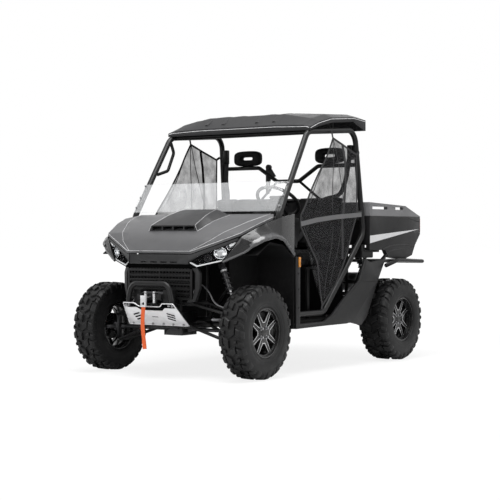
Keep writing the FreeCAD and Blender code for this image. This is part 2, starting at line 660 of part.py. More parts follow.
# Knuckles and hub carriers, about the wheel's centre.
def carrier_shape(sign, steered):
    """Upright with its ball joint ends, bearing housing, spindle and caliper."""
    inner = s.kingpin_offset - s.upright_thickness / 2
    outer = s.kingpin_offset + s.upright_thickness / 2
    half = s.upright_half_width
    parts = [
        slab((inner, outer), (-half, half), (-s.lower_joint_drop, s.upper_joint_rise)),
        rod(point(s.kingpin_offset, 0, 0), point(s.bearing_outer_offset, 0, 0), s.bearing_radius),
        rod(point(s.bearing_outer_offset, 0, 0), point(s.spindle_reach, 0, 0), s.spindle_radius),
    ]
    caliper = slab(
        (s.disc_offset - s.disc_thickness / 2 - s.caliper_half_thickness,
         s.disc_offset - s.disc_thickness / 2 + s.caliper_half_thickness),
        (-s.caliper_outer, -s.caliper_inner), (-s.caliper_half_height, s.caliper_half_height))
    slot_half = s.disc_thickness / 2 + s.caliper_slot_gap
    middle = s.disc_offset - s.disc_thickness / 2
    slot = rod(point(middle - slot_half, 0, 0), point(middle + slot_half, 0, 0),
               s.disc_radius + s.caliper_slot_gap)
    parts.append(caliper.cut(slot))
    parts.append(slab((s.kingpin_offset, middle - slot_half),
                      (-s.caliper_outer, 0), (-s.upright_half_width / 2, s.upright_half_width / 2)))
    if steered:
        arm_low = s.steer_arm_rise
        arm_high = s.steer_arm_rise + s.steer_arm_thickness
        reach = s.steer_arm_length
        width = s.steer_arm_half_width
        parts.append(slab((s.kingpin_offset - width, s.kingpin_offset + width), (0, reach),
                          (arm_low, arm_high)))
        parts.append(rod(point(s.kingpin_offset, reach, arm_low),
                         point(s.kingpin_offset, reach, arm_high), width))
    shape = fused(parts)
    return shape if sign > 0 else mirrored(shape)


def make_knuckles():
    for side, sign in SIDES.items():
        item = doc.addObject("Part::Feature", f"knuckle_{side}")
        item.Shape = carrier_shape(sign, True)
        node(item, f"knuckle_{side}", s.half_track * sign, axle_shift, s.tyre_radius)
    carriers = doc.addObject("Part::Feature", "rear_hub_carriers")
    left = carrier_shape(1, False).translated(point(s.half_track, 0, 0))
    carriers.Shape = both_sides(left)
    node(carriers, "rear_hub_carriers", 0, s.wheelbase + axle_shift, s.tyre_radius)


# Suspension. Both axles share the arms' and shocks' form and lie about their own axle.
def arm(bush_width, bush_height, spread, knee_spread, joint_height):
    """A two-legged arm with bushes at the frame and a ball joint boss at the wheel."""
    kingpin = s.half_track + s.kingpin_offset
    shapes = []
    for way in (-1, 1):
        shapes.append(tube([
            point(kingpin, 0, joint_height), point(s.arm_knee_width, knee_spread * way, joint_height),
            point(bush_width, spread * way, bush_height)], s.arm_tube_radius, s.arm_bend_radius))
        middle = point(bush_width, spread * way, bush_height)
        along = point(0, s.bush_length / 2, 0)
        shapes.append(rod(middle - along, middle + along, s.bush_radius))
    lift = point(0, 0, s.boss_height / 2)
    joint = point(kingpin, 0, joint_height)
    shapes.append(rod(joint - lift, joint + lift, s.boss_radius))
    return shapes


def along_arm(foot, knee_spread, spread, joint_height, bush_height):
    """Half the gap between an upper arm's legs, and their height, at a distance out."""
    share = (s.arm_knee_width - foot) / (s.arm_knee_width - s.upper_bush_width)
    return (knee_spread + (spread - knee_spread) * share,
            joint_height + (bush_height - joint_height) * share)


def joint_heights():
    clear = s.boss_height / 2 + s.joint_gap
    low = s.tyre_radius - s.lower_joint_drop - clear
    high = s.tyre_radius + s.upper_joint_rise + clear
    return low, high


def make_arms(label, axle_y, foot):
    low, high = joint_heights()
    lower = fused(arm(s.lower_bush_width, s.lower_bush_height, s.lower_bush_spread,
                      s.lower_knee_spread, low))
    upper_parts = arm(s.upper_bush_width, s.upper_bush_height, s.upper_bush_spread,
                      s.upper_knee_spread, high)
    half, height = along_arm(foot, s.upper_knee_spread, s.upper_bush_spread, high,
                             s.upper_bush_height)
    upper_parts.append(rod(point(foot, -half, height), point(foot, half, height),
                           s.shock_brace_radius))
    upper = fused(upper_parts)
    item = doc.addObject("Part::Feature", label)
    item.Shape = Part.Compound([lower, upper, mirrored(lower), mirrored(upper)])
    return node(item, label, 0, axle_y + axle_shift)


def make_shocks(label, axle_y, foot):
    low, high = joint_heights()
    half, height = along_arm(foot, s.upper_knee_spread, s.upper_bush_spread, high,
                             s.upper_bush_height)
    bottom = point(foot, 0, height)
    top = point(s.shock_top_width, 0, s.shock_top_height)
    way = (top - bottom).normalize()
    length = (top - bottom).Length
    eye = point(0, s.shock_eye_length / 2, 0)
    bore = s.shock_brace_radius + s.fit_gap
    parts = [
        rod(bottom - eye, bottom + eye, s.shock_eye_radius),
        rod(top - eye, top + eye, s.shock_eye_radius),
        rod(bottom, top, s.shock_rod_radius),
        rod(bottom + way * (length * 0.1), bottom + way * (length * 0.16), s.spring_radius),
        rod(bottom + way * (length * 0.16), bottom + way * (length * 0.86),
            s.spring_radius - s.spring_wire),
        rod(bottom + way * (length * 0.86), bottom + way * (length * 0.9), s.spring_radius),
    ]
    shape = fused(parts).cut(rod(bottom - eye * 2, bottom + eye * 2, bore))
    item = doc.addObject("Part::Feature", label)
    item.Shape = both_sides(shape)
    return node(item, label, 0, axle_y + axle_shift)


def half_shafts():
    """Left half shaft with its two boots."""
    inner = point(s.shaft_inner_width, 0, s.tyre_radius)
    outer = point(s.shaft_end_width, 0, s.tyre_radius)
    boot = point(s.boot_length, 0, 0)
    return [
        rod(inner, outer, s.shaft_radius),
        Part.makeCone(float(s.boot_radius), float(s.shaft_radius), float(s.boot_length), inner,
                      Vector(1, 0, 0)),
        Part.makeCone(float(s.boot_radius), float(s.shaft_radius), float(s.boot_length), outer,
                      Vector(-1, 0, 0)),
    ]


def make_drives():
    """Front drive with the prop shaft, and rear final drive, each with its half shafts."""
    shafts = half_shafts()
    front_half = s.front_drive_length / 2
    low = s.tyre_radius - s.front_drive_height / 4
    front = [
        slab((-s.front_drive_width / 2, s.front_drive_width / 2), (-front_half, front_half),
             (low, low + s.front_drive_height)),
        slab((-s.shaft_inner_width, s.shaft_inner_width),
             (-s.boot_radius, s.boot_radius),
             (s.tyre_radius - s.boot_radius, s.tyre_radius + s.boot_radius)),
        rod(point(0, 0, s.tyre_radius),
            point(0, s.wheelbase - s.final_drive_length / 2 - s.fit_gap, s.tyre_radius),
            s.prop_shaft_radius),
    ]
    feature("front_drive", fused(front + shafts + [mirrored(shaft) for shaft in shafts]))
    rear_half = s.final_drive_length / 2
    rear_low = s.tyre_radius - s.final_drive_height / 3
    rear = [
        slab((-s.final_drive_width / 2, s.final_drive_width / 2), (-rear_half, rear_half),
             (rear_low, rear_low + s.final_drive_height)),
        slab((-s.shaft_inner_width, s.shaft_inner_width),
             (-s.boot_radius, s.boot_radius),
             (s.tyre_radius - s.boot_radius, s.tyre_radius + s.boot_radius)),
    ]
    shape = fused(rear + shafts + [mirrored(shaft) for shaft in shafts])
    item = doc.addObject("Part::Feature", "rear_drive")
    item.Shape = shape
    node(item, "rear_drive", 0, s.wheelbase + axle_shift)


def make_engine():
    """The engine as one chamfered block between the seats and the rear axle."""
    block = doc.addObject("Part::Box", "engine_box")
    bind(block, Length=s.engine_width, Width=s.engine_length, Height=s.engine_height,
         Placement__Base__x=-s.engine_width / 2,
         Placement__Base__y=s.engine_centre_y - s.engine_length / 2,
         Placement__Base__z=engine_bottom)
    doc.recompute()
    cut = doc.addObject("Part::Chamfer", "engine_chamfer")
    cut.Base = block
    reach = s.engine_chamfer.value
    cut.Edges = [(number, reach, reach) for number, edge in enumerate(block.Shape.Edges, 1)
                 if abs(edge.tangentAt(edge.FirstParameter).y) > 0.999]
    node(cut, "engine_block")


def make_muffler():
    """Silencer lying across behind the engine, with its tail pipe."""
    body = new_body("muffler")
    half = s.muffler_length / 2
    end = s.muffler_radius - s.tail_pipe_radius
    outline = [
        (-half, 0), (-half, end), (-half + s.tail_pipe_radius, s.muffler_radius),
        (half - s.tail_pipe_radius, s.muffler_radius), (half, end),
        (half, s.tail_pipe_radius), (half + s.tail_pipe_length, s.tail_pipe_radius),
        (half + s.tail_pipe_length, 0),
    ]
    revolve(body, outline)
    node(body, "muffler", 0, muffler_y + axle_shift, s.muffler_z)


# The frame: two long rails, front and rear towers, outriggers and bed rails.
def bush_ears(axle_y, width, height, spread):
    """Plates on both ends of a pair of left arm bushes, back to their rail."""
    ears = []
    reach = s.bush_length / 2 + s.fit_gap
    for way in (-1, 1):
        for end in (-1, 1):
            near = axle_y + spread * way + reach * end
            low, high = sorted((near, near + s.plate_thickness * end), key=float)
            ears.append(slab((s.rail_width, width + s.bush_radius), (low, high),
                             (height - s.bush_radius, height + s.bush_radius)))
    return ears


def shock_clevis(axle_y):
    """Left clevis of a shock's upper eye: two plates under a top plate."""
    reach = s.shock_eye_length / 2 + s.fit_gap
    half = s.shock_eye_radius + s.plate_thickness
    across = (s.shock_top_width - half, s.shock_top_width + half)
    top = s.tower_height
    outer = reach + s.plate_thickness
    parts = [slab(across, (axle_y - outer, axle_y + outer), (top - s.plate_thickness * 2, top))]
    for low in (axle_y - outer, axle_y + reach):
        parts.append(slab(across, (low, low + s.plate_thickness), (s.shock_top_height - half, top)))
    return parts


def tower(axle_y, first, last):
    """Left half of an axle's tower, which stands on the rails."""
    x = s.rail_width
    top = s.tower_height
    radius = s.frame_tube_radius
    foot = s.rail_height + radius + s.fit_gap
    return [
        rod(point(x, first, foot), point(x, first, top), radius),
        rod(point(x, last, foot), point(x, last, top), radius),
        rod(point(x, first, top), point(x, last, top), radius),
        rod(point(x, first, s.upper_bush_height), point(x, last, s.upper_bush_height),
            s.tower_brace_radius),
        rod(point(0, axle_y, top), point(s.tower_half_width, axle_y, top), radius),
    ] + shock_clevis(axle_y) + bush_ears(axle_y, s.upper_bush_width, s.upper_bush_height,
                                         s.upper_bush_spread)


def bed_ears():
    """Left hinge of the bed: two ears at the rail's end and the pin between them."""
    near = s.bed_lug_thickness / 2 + s.hood_gap / 2
    parts = []
    for low in (s.bed_rail_width - near - s.bed_ear_thickness, s.bed_rail_width + near):
        parts.append(slab((low, low + s.bed_ear_thickness),
                          (s.bed_hinge_y - s.bed_ear_radius * 4, s.bed_hinge_y + s.bed_ear_radius),
                          (s.bed_hinge_z - s.bed_ear_radius, s.bed_hinge_z + s.bed_ear_radius)))
    reach = point(near + s.bed_ear_thickness, 0, 0)
    middle = point(s.bed_rail_width, s.bed_hinge_y, s.bed_hinge_z)
    parts.append(rod(middle - reach, middle + reach, s.bed_pin_radius))
    return parts


def post_x(z):
    """Distance of a bed post from the middle plane at a height."""
    share = (z - s.rail_height) / (s.bed_rail_height - s.rail_height)
    return s.rail_width + (s.bed_rail_width - s.rail_width) * share


def skid_back(z):
    """Rear face of the skid plate at a height."""
    slope = (s.skid_top_y - s.skid_bottom_y) / (s.skid_top_z - s.skid_bottom_z)
    depth = s.skid_thickness * math.hypot(1, slope.value)
    return s.skid_bottom_y + slope * (z - s.skid_bottom_z) + depth + s.fit_gap


def front_brackets():
    """Left half of the winch plate and the tabs that carry the nose pieces."""
    half = s.front_bracket / 2
    x = s.rail_width
    thick = s.plate_thickness
    upright = s.frame_front
    plate_half = s.hoop_half_width - s.hoop_tube_radius - s.fit_gap
    grille_back = s.nose_y + s.grille_frame / 2 + s.grille_thickness + s.fit_gap
    fascia_back = s.nose_y + s.fascia_thickness + s.fit_gap
    grille_low = s.grille_bottom + s.front_bracket * 4
    return [
        slab((0, plate_half), (s.winch_plate_front, upright + thick),
             (s.winch_plate_z - thick, s.winch_plate_z)),
        slab((x - half, x + half), (grille_back, upright + thick), (grille_low, grille_low + thick)),
        slab((x - half, x + half), (grille_back, upright + thick),
             (s.grille_top - s.grille_frame, s.grille_top)),
        slab((x - half, x + half), (fascia_back, upright + thick),
             (s.tower_height - s.front_bracket, s.tower_height)),
    ]


def skid_tab():
    """Left tab from the rail's end to the skid plate's foot."""
    high = s.skid_bottom_z + s.plate_thickness
    low = s.skid_bottom_z
    return slab((s.rail_width - s.front_bracket * 2, s.rail_width),
                (skid_back(low), s.frame_front), (low, high))


def hitch_plate():
    """Left half of the drawbar plate with its ball hole."""
    half = s.hitch_half_width
    z = s.rail_height
    plate = slab((0, half), (s.post_rear, s.hitch_reach), (z, z + s.hitch_thickness))
    y = s.hitch_reach - half * 0.7
    hole = rod(point(0, y, z - half), point(0, y, z + half), s.hitch_hole_radius)
    return plate.cut(hole)


def whole_width(label, left):
    """One sub-part from the left half's shapes and their mirror images."""
    feature(label, fused(left + [mirrored(part) for part in left]))


def make_frame():
    """Rails with their cross bars, outriggers, lower bush ears and the drawbar plate."""
    x = s.rail_width
    z = s.rail_height
    radius = s.frame_tube_radius
    left = [rod(point(x, s.frame_front, z), point(x, s.frame_rear, z), radius)]
    for y in (s.frame_front, s.outrigger_front, s.outrigger_middle, s.outrigger_rear, s.post_rear):
        left.append(rod(point(0, y, z), point(x, y, z), radius))
    foot = s.cage_sill_z - s.cage_tube_radius - s.fit_gap
    for y in (s.outrigger_front, s.outrigger_middle, s.outrigger_rear):
        left.append(rod(point(x, y, z), point(s.outrigger_half_width, y, z), radius))
        left.append(slab((s.cage_half_width - radius, s.outrigger_half_width),
                         (y - radius, y + radius), (z, foot)))
    for axle_y in (size(0), s.wheelbase):
        left += bush_ears(axle_y, s.lower_bush_width, s.lower_bush_height, s.lower_bush_spread)
    for way in (-1, 1):
        low, high = sorted((s.front_drive_length / 2 * way, s.front_drive_length / 3 * way),
                           key=float)
        for axle_y, half in ((size(0), s.front_drive_width / 2),
                             (s.wheelbase, s.final_drive_width / 2)):
            left.append(slab((half + s.fit_gap, x), (axle_y + low, axle_y + high),
                             (z - s.plate_thickness, z + s.plate_thickness)))
    left += [skid_tab(), hitch_plate()]
    whole_width("main_frame", left)
    make_towers()


def make_towers():
    """Front tower with the nose's brackets, rear tower with the bed's rails."""
    front = tower(size(0), s.frame_front + s.frame_tube_radius, s.bulkhead_rear)
    whole_width("front_tower", front + front_brackets())
    radius = s.frame_tube_radius
    left = tower(s.wheelbase, s.wheelbase - s.bulkhead_rear, s.post_rear)
    left.append(rod(point(s.bed_rail_width, s.bed_rail_front, s.bed_rail_height),
                    point(s.bed_rail_width, s.bed_hinge_y - s.bed_ear_radius * 2,
                          s.bed_rail_height), radius))
    foot = s.rail_height + radius * 1.3
    for y in (s.post_front, s.post_rear):
        left.append(rod(point(post_x(foot), y, foot),
                        point(s.bed_rail_width, y, s.bed_rail_height), radius))
    left.append(rod(point(0, s.post_rear, s.muffler_z),
                    point(post_x(s.muffler_z), s.post_rear, s.muffler_z), radius))
    whole_width("rear_tower", left + bed_ears())


# Steering gear, rack and wheel.
def column_points():
    return [
        point(s.column_x, s.column_top_y, s.column_top_z),
        point(s.column_x, s.column_knee_y, s.column_knee_z),
        point(s.pinion_x, s.steer_arm_length, s.tyre_radius + s.steer_arm_rise),
    ]


def column_axis():
    points = column_points()
    return (points[0] - points[1]).normalize()


def column_clearance(extra):
    """The column's room through the firewall and dashboard."""
    return tube(column_points(), s.column_radius + extra, s.column_radius * 3)


def rack_height():
    return s.tyre_radius + s.steer_arm_rise - s.joint_gap - s.tie_eye_height / 2


def make_steering():
    y = s.steer_arm_length
    z = rack_height()
    half = s.rack_housing_half
    housing = rod(point(-half, y, z), point(half, y, z), s.rack_housing_radius)
    bore = rod(point(-half * 1.1, y, z), point(half * 1.1, y, z), s.rack_bore)
    column = tube(column_points(), s.column_radius, s.column_radius * 3)
    thick = s.plate_thickness
    ends = (y, s.bulkhead_rear - s.frame_tube_radius - s.fit_gap)
    straps = [slab((x - thick, x + thick), ends,
                   (z - s.rack_housing_radius, z + s.rack_housing_radius))
              for x in (-s.rail_width, s.rail_width)]
    feature("steering_gear", fused([housing, column] + straps).cut(bore))
    reach = s.rack_bar_half
    eye_x = s.half_track + s.kingpin_offset
    bar = [rod(point(-reach, y, z), point(reach, y, z), s.rack_bar_radius)]
    lift = point(0, 0, s.tie_eye_height / 2)
    for sign in SIDES.values():
        middle = point(eye_x * sign, y, z)
        bar.append(rod(point(reach * sign, y, z), middle, s.tie_rod_radius * 0.8))
        bar.append(rod(middle - lift, middle + lift, s.tie_eye_radius))
    feature("steering_rack", fused(bar))


def make_steering_wheel():
    """Ring, three spokes and hub, square to the column."""
    body = []
    hub = Part.makeCylinder(float(s.wheel_hub_radius), float(s.wheel_hub_height))
    hub.translate(point(0, 0, s.wheel_gap))
    body.append(hub)
    centre = s.wheel_gap + s.wheel_rise
    ring = Part.makeTorus(float(s.wheel_ring_radius), float(s.wheel_ring_tube), point(0, 0, centre))
    body.append(ring)
    half = s.wheel_spoke_width / 2
    for turn in (0, 90, 180):
        spoke = slab((0, s.wheel_ring_radius), (-half, half),
                     (s.wheel_gap + s.wheel_rise - s.wheel_spoke_thickness, centre))
        spoke.rotate(Vector(0, 0, 0), Vector(0, 0, 1), turn)
        body.append(spoke)
    shape = fused(body)
    axis = column_axis()
    tilt = math.degrees(math.atan2(-axis.y, axis.z))
    item = doc.addObject("Part::Feature", "steering_wheel")
    item.Shape = shape
    node(item, "steering_wheel", s.column_x, s.column_top_y + axle_shift, s.column_top_z,
         Rotation(Vector(1, 0, 0), tilt))


# Front end.
def blend(rows, y):
    """The sizes of a row of stations at a length, taken straight between its neighbours."""
    for before, after in zip(rows, rows[1:]):
        if float(y) <= float(after[0]):
            break
    share = (y - before[0]) / (after[0] - before[0])
    return [low + (high - low) * share for low, high in zip(before[1:], after[1:])]


def ruled(sections):
    """One solid through closed sections of equally many corners."""
    wires = [Part.makePolygon(section + section[:1]) for section in sections]
    return Part.makeLoft(wires, True, True)


def hood_rows():
    """Stations of the hood: length, half width, edge height, crown height, crease half."""
    return [
        (s.nose_y, s.nose_half_width, s.hood_nose_z, s.hood_nose_crown, s.hood_nose_crease),
        (s.hood_brow_y, s.hood_brow_half, s.hood_brow_z, s.hood_brow_crown, s.hood_brow_crease),
        (s.corner_y, s.corner_half_width, s.hood_corner_z, s.hood_corner_crown,
         s.hood_corner_crease),
        (s.hood_mid_y, s.hood_mid_half, s.hood_mid_z, s.hood_mid_crown, s.hood_mid_crease),
        (s.hood_shoulder_y, s.hood_shoulder_half, s.hood_shoulder_z, s.hood_shoulder_crown,
         s.hood_shoulder_crease),
        (s.hood_rear_y, s.hood_rear_half, s.hood_rear_z, s.hood_rear_crown, s.hood_rear_crease),
    ]


def hood_section(y, half, edge, crown, crease):
    """Corners of the hood's section at one station."""
    top = [(-half, edge), (-crease, crown), (crease, crown), (half, edge)]
    low = [(x, z - s.hood_thickness) for x, z in top[::-1]]
    return [point(x, y, z) for x, z in top + low]


def make_hood():
    """Creased hood skin with its hinge lugs."""
    skin = ruled([hood_section(*row) for row in hood_rows()])
    y = s.hood_hinge_y
    z = s.hood_hinge_z
    lugs = []
    for sign in SIDES.values():
        middle = s.hinge_x * sign
        half = s.hinge_lug / 2
        barrel = rod(point(middle - half, y, z), point(middle + half, y, z), s.hinge_barrel_radius)
        tongue = slab((middle - half, middle + half), (y - s.hinge_barrel_radius * 2, y),
                      (z - s.hinge_barrel_radius / 2, z + s.hinge_barrel_radius / 2))
        hole = rod(point(middle - half * 2, y, z), point(middle + half * 2, y, z),
                   s.hinge_pin_radius + s.fit_gap)
        lugs.append(barrel.fuse(tongue).cut(hole))
    feature("hood", fused([skin] + lugs))


def hood_height(y):
    """Top of the hood at its middle."""
    return blend(hood_rows(), y)[2]


def make_scoop():
    """Raised air scoop, narrowing upwards, with a row of openings at its front."""
    ends = ((s.scoop_front_y, s.scoop_front_half, s.scoop_front_top_half, s.scoop_front_rise),
            (s.scoop_rear_y, s.scoop_rear_half, s.scoop_rear_top_half, s.scoop_rear_rise))
    bends = [(row[0], *blend(ends, row[0])) for row in hood_rows()[3:5]]
    sections = []
    for y, half, top_half, rise in (ends[0], *bends, ends[1]):
        low = hood_height(y) + s.fit_gap
        sections.append([point(x, y, z) for x, z in (
            (-half, low), (half, low), (top_half, low + rise), (-top_half, low + rise))])
    low = hood_height(s.scoop_front_y) + s.scoop_wall
    high = hood_height(s.scoop_front_y) + s.scoop_front_rise - s.scoop_wall
    reach = s.scoop_front_top_half - s.scoop_wall
    pitch = (reach * 2 + s.scoop_rib) / s.scoop_mouths.value
    mouths = []
    for number in range(int(s.scoop_mouths.value)):
        left = pitch * number - reach
        mouths.append(slab((left, left + pitch - s.scoop_rib),
                           (s.scoop_front_y - 1, s.scoop_front_y + s.scoop_mouth_depth), (low, high)))
    feature("hood_scoop", ruled(sections).cut(Part.Compound(mouths)))


def make_fascia():
    """Nose band under the hood's edge, with four slots and a strip over each lamp."""
    drop = s.hood_thickness + s.hood_gap
    top = s.hood_nose_z - drop
    half = s.lamp_inner_x - s.fit_gap
    back = s.nose_y + s.fascia_thickness
    band = slab((-half, half), (s.nose_y, back), (s.fascia_bottom, top))
    slots = []
    for step in (-1.5, -0.5, 0.5, 1.5):
        middle = s.fascia_slot_pitch * step
        reach = s.fascia_slot_width / 2
        slots.append(slab((middle - reach, middle + reach), (s.nose_y - 1, back + 1),
                          (s.fascia_slot_z, s.fascia_slot_z + s.fascia_slot_height)))
    strip = front_prism([
        (half - 1, s.lamp_inner_z + s.hood_gap), (s.lamp_top_x, s.lamp_top_z + s.fit_gap),
        (s.lamp_tip_x, s.lamp_tip_z + s.fit_gap), (s.lamp_tip_x, s.hood_corner_z - drop * 1.4),
        (s.hood_brow_half, s.hood_brow_z - drop), (s.nose_half_width, top),
        (half - 1, top)], size(0), s.fascia_thickness)
    feature("front_fascia", fused([band, strip, mirrored(strip)]).cut(Part.Compound(slots)))


def make_grille():
    """Framed grille with rows of slots, and the chin trims beside it."""
    body = new_body("grille")
    half = s.grille_half_width
    front = s.nose_y + s.grille_frame / 2
    pad(body, "XZ_Plane", front, front + s.grille_thickness,
        [[(-half, s.grille_bottom), (half, s.grille_bottom), (half, s.grille_top), (-half, s.grille_top)]])
    rows = int(s.grille_rows.value)
    pitch = (s.grille_top - s.grille_bottom - s.grille_frame * 2 + s.grille_bar) / rows
    slots = []
    for number in range(rows):
        low = s.grille_bottom + s.grille_frame + pitch * number
        for left in (-half + s.grille_frame, s.grille_bar / 2):
            width = half - s.grille_frame - s.grille_bar / 2
            slots.append([(left, low), (left + width, low), (left + width, low + pitch - s.grille_bar),
                          (left, low + pitch - s.grille_bar)])
    pocket(body, "XZ_Plane", front - 1, front + s.grille_thickness + 1, slots)
    node(body, "grille")


def front_prism(outline, front_shift, rear_shift):
    """Extrude a front view outline rearwards, kept within the left corner's slanted band."""
    block = prism("y", outline, s.nose_y - s.corner_half_width, s.nose_y + s.corner_half_width)
    slope = (s.corner_y - s.nose_y) / (s.corner_half_width - s.nose_half_width)
    far = s.corner_half_width * 2
    band = [
        (0, s.nose_y + front_shift - slope * s.nose_half_width),
        (far, s.corner_y + front_shift + slope * s.corner_half_width),
        (far, s.corner_y + rear_shift + slope * s.corner_half_width),
        (0, s.nose_y + rear_shift - slope * s.nose_half_width),
    ]
    return block.common(prism("z", band, 0, s.hood_rear_z))


def make_headlamps():
    """Wedge lamps in the slanted corners, with the body strip above them."""
    lamp = [
        (s.lamp_inner_x, s.lamp_inner_z), (s.lamp_low_x, s.lamp_low_z),
        (s.lamp_bottom_x, s.lamp_bottom_z), (s.lamp_tip_x, s.lamp_tip_z),
        (s.lamp_top_x, s.lamp_top_z),
    ]
    feature("headlamps", both_sides(front_prism(lamp, size(0), s.lamp_depth)))


def make_skid_plate():
    """Bright front plate, sloped back towards its foot, with slots."""
    body = new_body("skid_plate")
    rise = s.skid_top_z - s.skid_bottom_z
    outline = [
        (-s.skid_bottom_half, 0), (s.skid_bottom_half, 0), (s.skid_top_half, rise),
        (s.skid_scoop_half, rise), (s.skid_dip_half, rise - s.skid_scoop_drop),
        (-s.skid_dip_half, rise - s.skid_scoop_drop), (-s.skid_scoop_half, rise),
        (-s.skid_top_half, rise),
    ]
    pad(body, "XZ_Plane", 0, s.skid_thickness, [outline])
    middle = s.skid_centre_slot
    centre_slot = [
        (-s.skid_slot_length / 2, middle), (s.skid_slot_length / 2, middle),
        (s.skid_slot_length / 2, middle + s.skid_slot_width),
        (-s.skid_slot_length / 2, middle + s.skid_slot_width),
    ]
    slots = [centre_slot]
    for sign in SIDES.values():
        for number in range(int(s.skid_slots.value)):
            x = (s.skid_slot_x + s.skid_slot_shift * number) * sign
            z = s.skid_slot_z + s.skid_slot_pitch * number
            far = x + s.skid_slot_length * sign
            slots.append([(x, z + s.skid_slot_slant), (far, z), (far, z + s.skid_slot_width),
                          (x, z + s.skid_slot_slant + s.skid_slot_width)])
    pocket(body, "XZ_Plane", size(-1), s.skid_thickness + 1, slots)
    lean = math.degrees(math.atan2(float(s.skid_bottom_y - s.skid_top_y), float(rise)))
    node(body, "skid_plate", 0, s.skid_bottom_y + axle_shift, s.skid_bottom_z,
         Rotation(Vector(1, 0, 0), lean))


def make_bull_bar():
    """Hoop over the winch, standing on two feet behind the skid plate."""
    half = s.hoop_half_width
    path = [
        point(-half, s.hoop_foot_y, s.hoop_base_z - s.hoop_bend),
        point(-half, s.hoop_y, s.hoop_base_z),
        point(-half * s.hoop_top_share, s.hoop_y, s.hoop_top_z - s.hoop_tube_radius),
        point(half * s.hoop_top_share, s.hoop_y, s.hoop_top_z - s.hoop_tube_radius),
        point(half, s.hoop_y, s.hoop_base_z),
        point(half, s.hoop_foot_y, s.hoop_base_z - s.hoop_bend),
    ]
    feature("bull_bar", tube(path, s.hoop_tube_radius, s.hoop_bend))


def make_winch():
    """Drum and motor ends on their plate, with the fairlead in front of the drum."""
    y = s.winch_y
    z = s.winch_plate_z + s.fit_gap + s.winch_end_half
    half = s.winch_half_width
    parts = [rod(point(-half, y, z), point(half, y, z), s.winch_radius)]
    for sign in SIDES.values():
        low, high = sorted((half * sign, (half + s.winch_end_width) * sign), key=float)
        parts.append(slab((low, high), (y - s.winch_end_depth, y + s.winch_end_depth),
                          (z - s.winch_end_half, z + s.winch_end_half)))
        low, high = sorted(((s.fairlead_half + s.fit_gap) * sign, (half + s.plate_thickness) * sign),
                           key=float)
        parts.append(slab((low, high), (s.fairlead_y - s.roller_radius, y),
                          (z - s.front_bracket, z + s.front_bracket)))
    feature("winch", fused(parts))
    make_fairlead(z)
    make_hook(z)


def make_fairlead(z):
    """Two upright rollers between flat plates."""
    half = s.fairlead_half
    low = s.winch_plate_z + s.fit_gap
    high = low + s.fairlead_rise
    y = s.fairlead_y
    thick = s.plate_thickness
    parts = []
    for bottom in (low, high - thick):
        parts.append(slab((-half, half), (y - s.roller_radius, y + s.roller_radius),
                          (bottom, bottom + thick)))
    for sign in SIDES.values():
        parts.append(rod(point(s.roller_x * sign, y, low), point(s.roller_x * sign, y, high),
                         s.roller_radius - 1))
        near, far = sorted((half * sign, (half - thick) * sign), key=float)
        parts.append(slab((near, far), (y - s.roller_radius, y + s.roller_radius), (low, high)))
    feature("fairlead", fused(parts))


def make_hook(z):
    """Rope from the drum, the hook on its end and the pull strap under it."""
    x = s.strap_x
    y = s.strap_y
    rope = rod(point(x, s.winch_y - s.winch_radius - s.fit_gap, z), point(x, y, z), s.rope_radius)
    half = s.hook_half_width
    low = s.strap_top + s.fit_gap
    body = slab((x - half, x + half), (y - s.hook_thickness / 2, y + s.hook_thickness / 2),
                (low, low + s.hook_height))
    throat = rod(point(x, y - s.hook_thickness, low + half), point(x, y + s.hook_thickness, low + half),
                 half * 0.5)
    feature("winch_hook", fused([rope, body.cut(throat)]))
    wide = s.strap_width / 2
    feature("pull_strap", slab((x - wide, x + wide),
                               (y - s.strap_thickness / 2, y + s.strap_thickness / 2),
                               (s.strap_bottom, s.strap_top)))


# Fenders and side panels, each drawn from the left side and mirrored.
def fender_rows():
    """Stations from the lamp's foot to the door: shut line, ridge and arch edge of each."""
    return [
        (point(s.shut_foot_x, s.shut_foot_y, s.shut_foot_z),
         point(s.ridge_foot_x, s.ridge_foot_y, s.ridge_foot_z),
         point(s.edge_foot_x, s.edge_foot_y, s.edge_foot_z)),
        (point(s.shut_lamp_x, s.shut_lamp_y, s.shut_lamp_z),
         point(s.ridge_lamp_x, s.ridge_lamp_y, s.ridge_lamp_z),
         point(s.edge_lamp_x, s.edge_lamp_y, s.edge_lamp_z)),
        (point(s.shut_tip_x, s.shut_tip_y, s.shut_tip_z),
         point(s.ridge_tip_x, s.ridge_tip_y, s.ridge_tip_z),
         point(s.edge_tip_x, s.edge_tip_y, s.edge_tip_z)),
        (point(s.shut_rise_x, s.shut_rise_y, s.shut_rise_z),
         point(s.ridge_rise_x, s.ridge_rise_y, s.ridge_rise_z),
         point(s.edge_rise_x, s.edge_rise_y, s.edge_rise_z)),
        (point(s.shut_crown_x, s.shut_crown_y, s.shut_crown_z),
         point(s.ridge_crown_x, s.ridge_crown_y, s.ridge_crown_z),
         point(s.edge_crown_x, s.edge_crown_y, s.edge_crown_z)),
        (point(s.shut_turn_x, s.shut_turn_y, s.shut_turn_z),
         point(s.ridge_turn_x, s.ridge_turn_y, s.ridge_turn_z),
         point(s.edge_turn_x, s.edge_turn_y, s.edge_turn_z)),
        (point(s.shut_door_x, s.shut_door_y, s.shut_door_z),
         point(s.ridge_door_x, s.ridge_door_y, s.ridge_door_z),
         point(s.edge_door_x, s.edge_door_y, s.edge_door_z)),
    ]


def fender_section(row, before, after):
    """Flat section of the fender skin, a wall thick, square to the run of the ridge."""
    shut, ridge, edge = row
    across = edge - shut
    inward = across.cross(after[1] - before[1]).normalize()
    if inward.x > 0:
        inward = -inward
    flat = across.cross(inward).normalize()
    level = ridge - flat * (ridge - shut).dot(flat)
    step = inward * float(s.fender_wall)
    return [shut, level, edge, edge + step, level + step, shut + step]


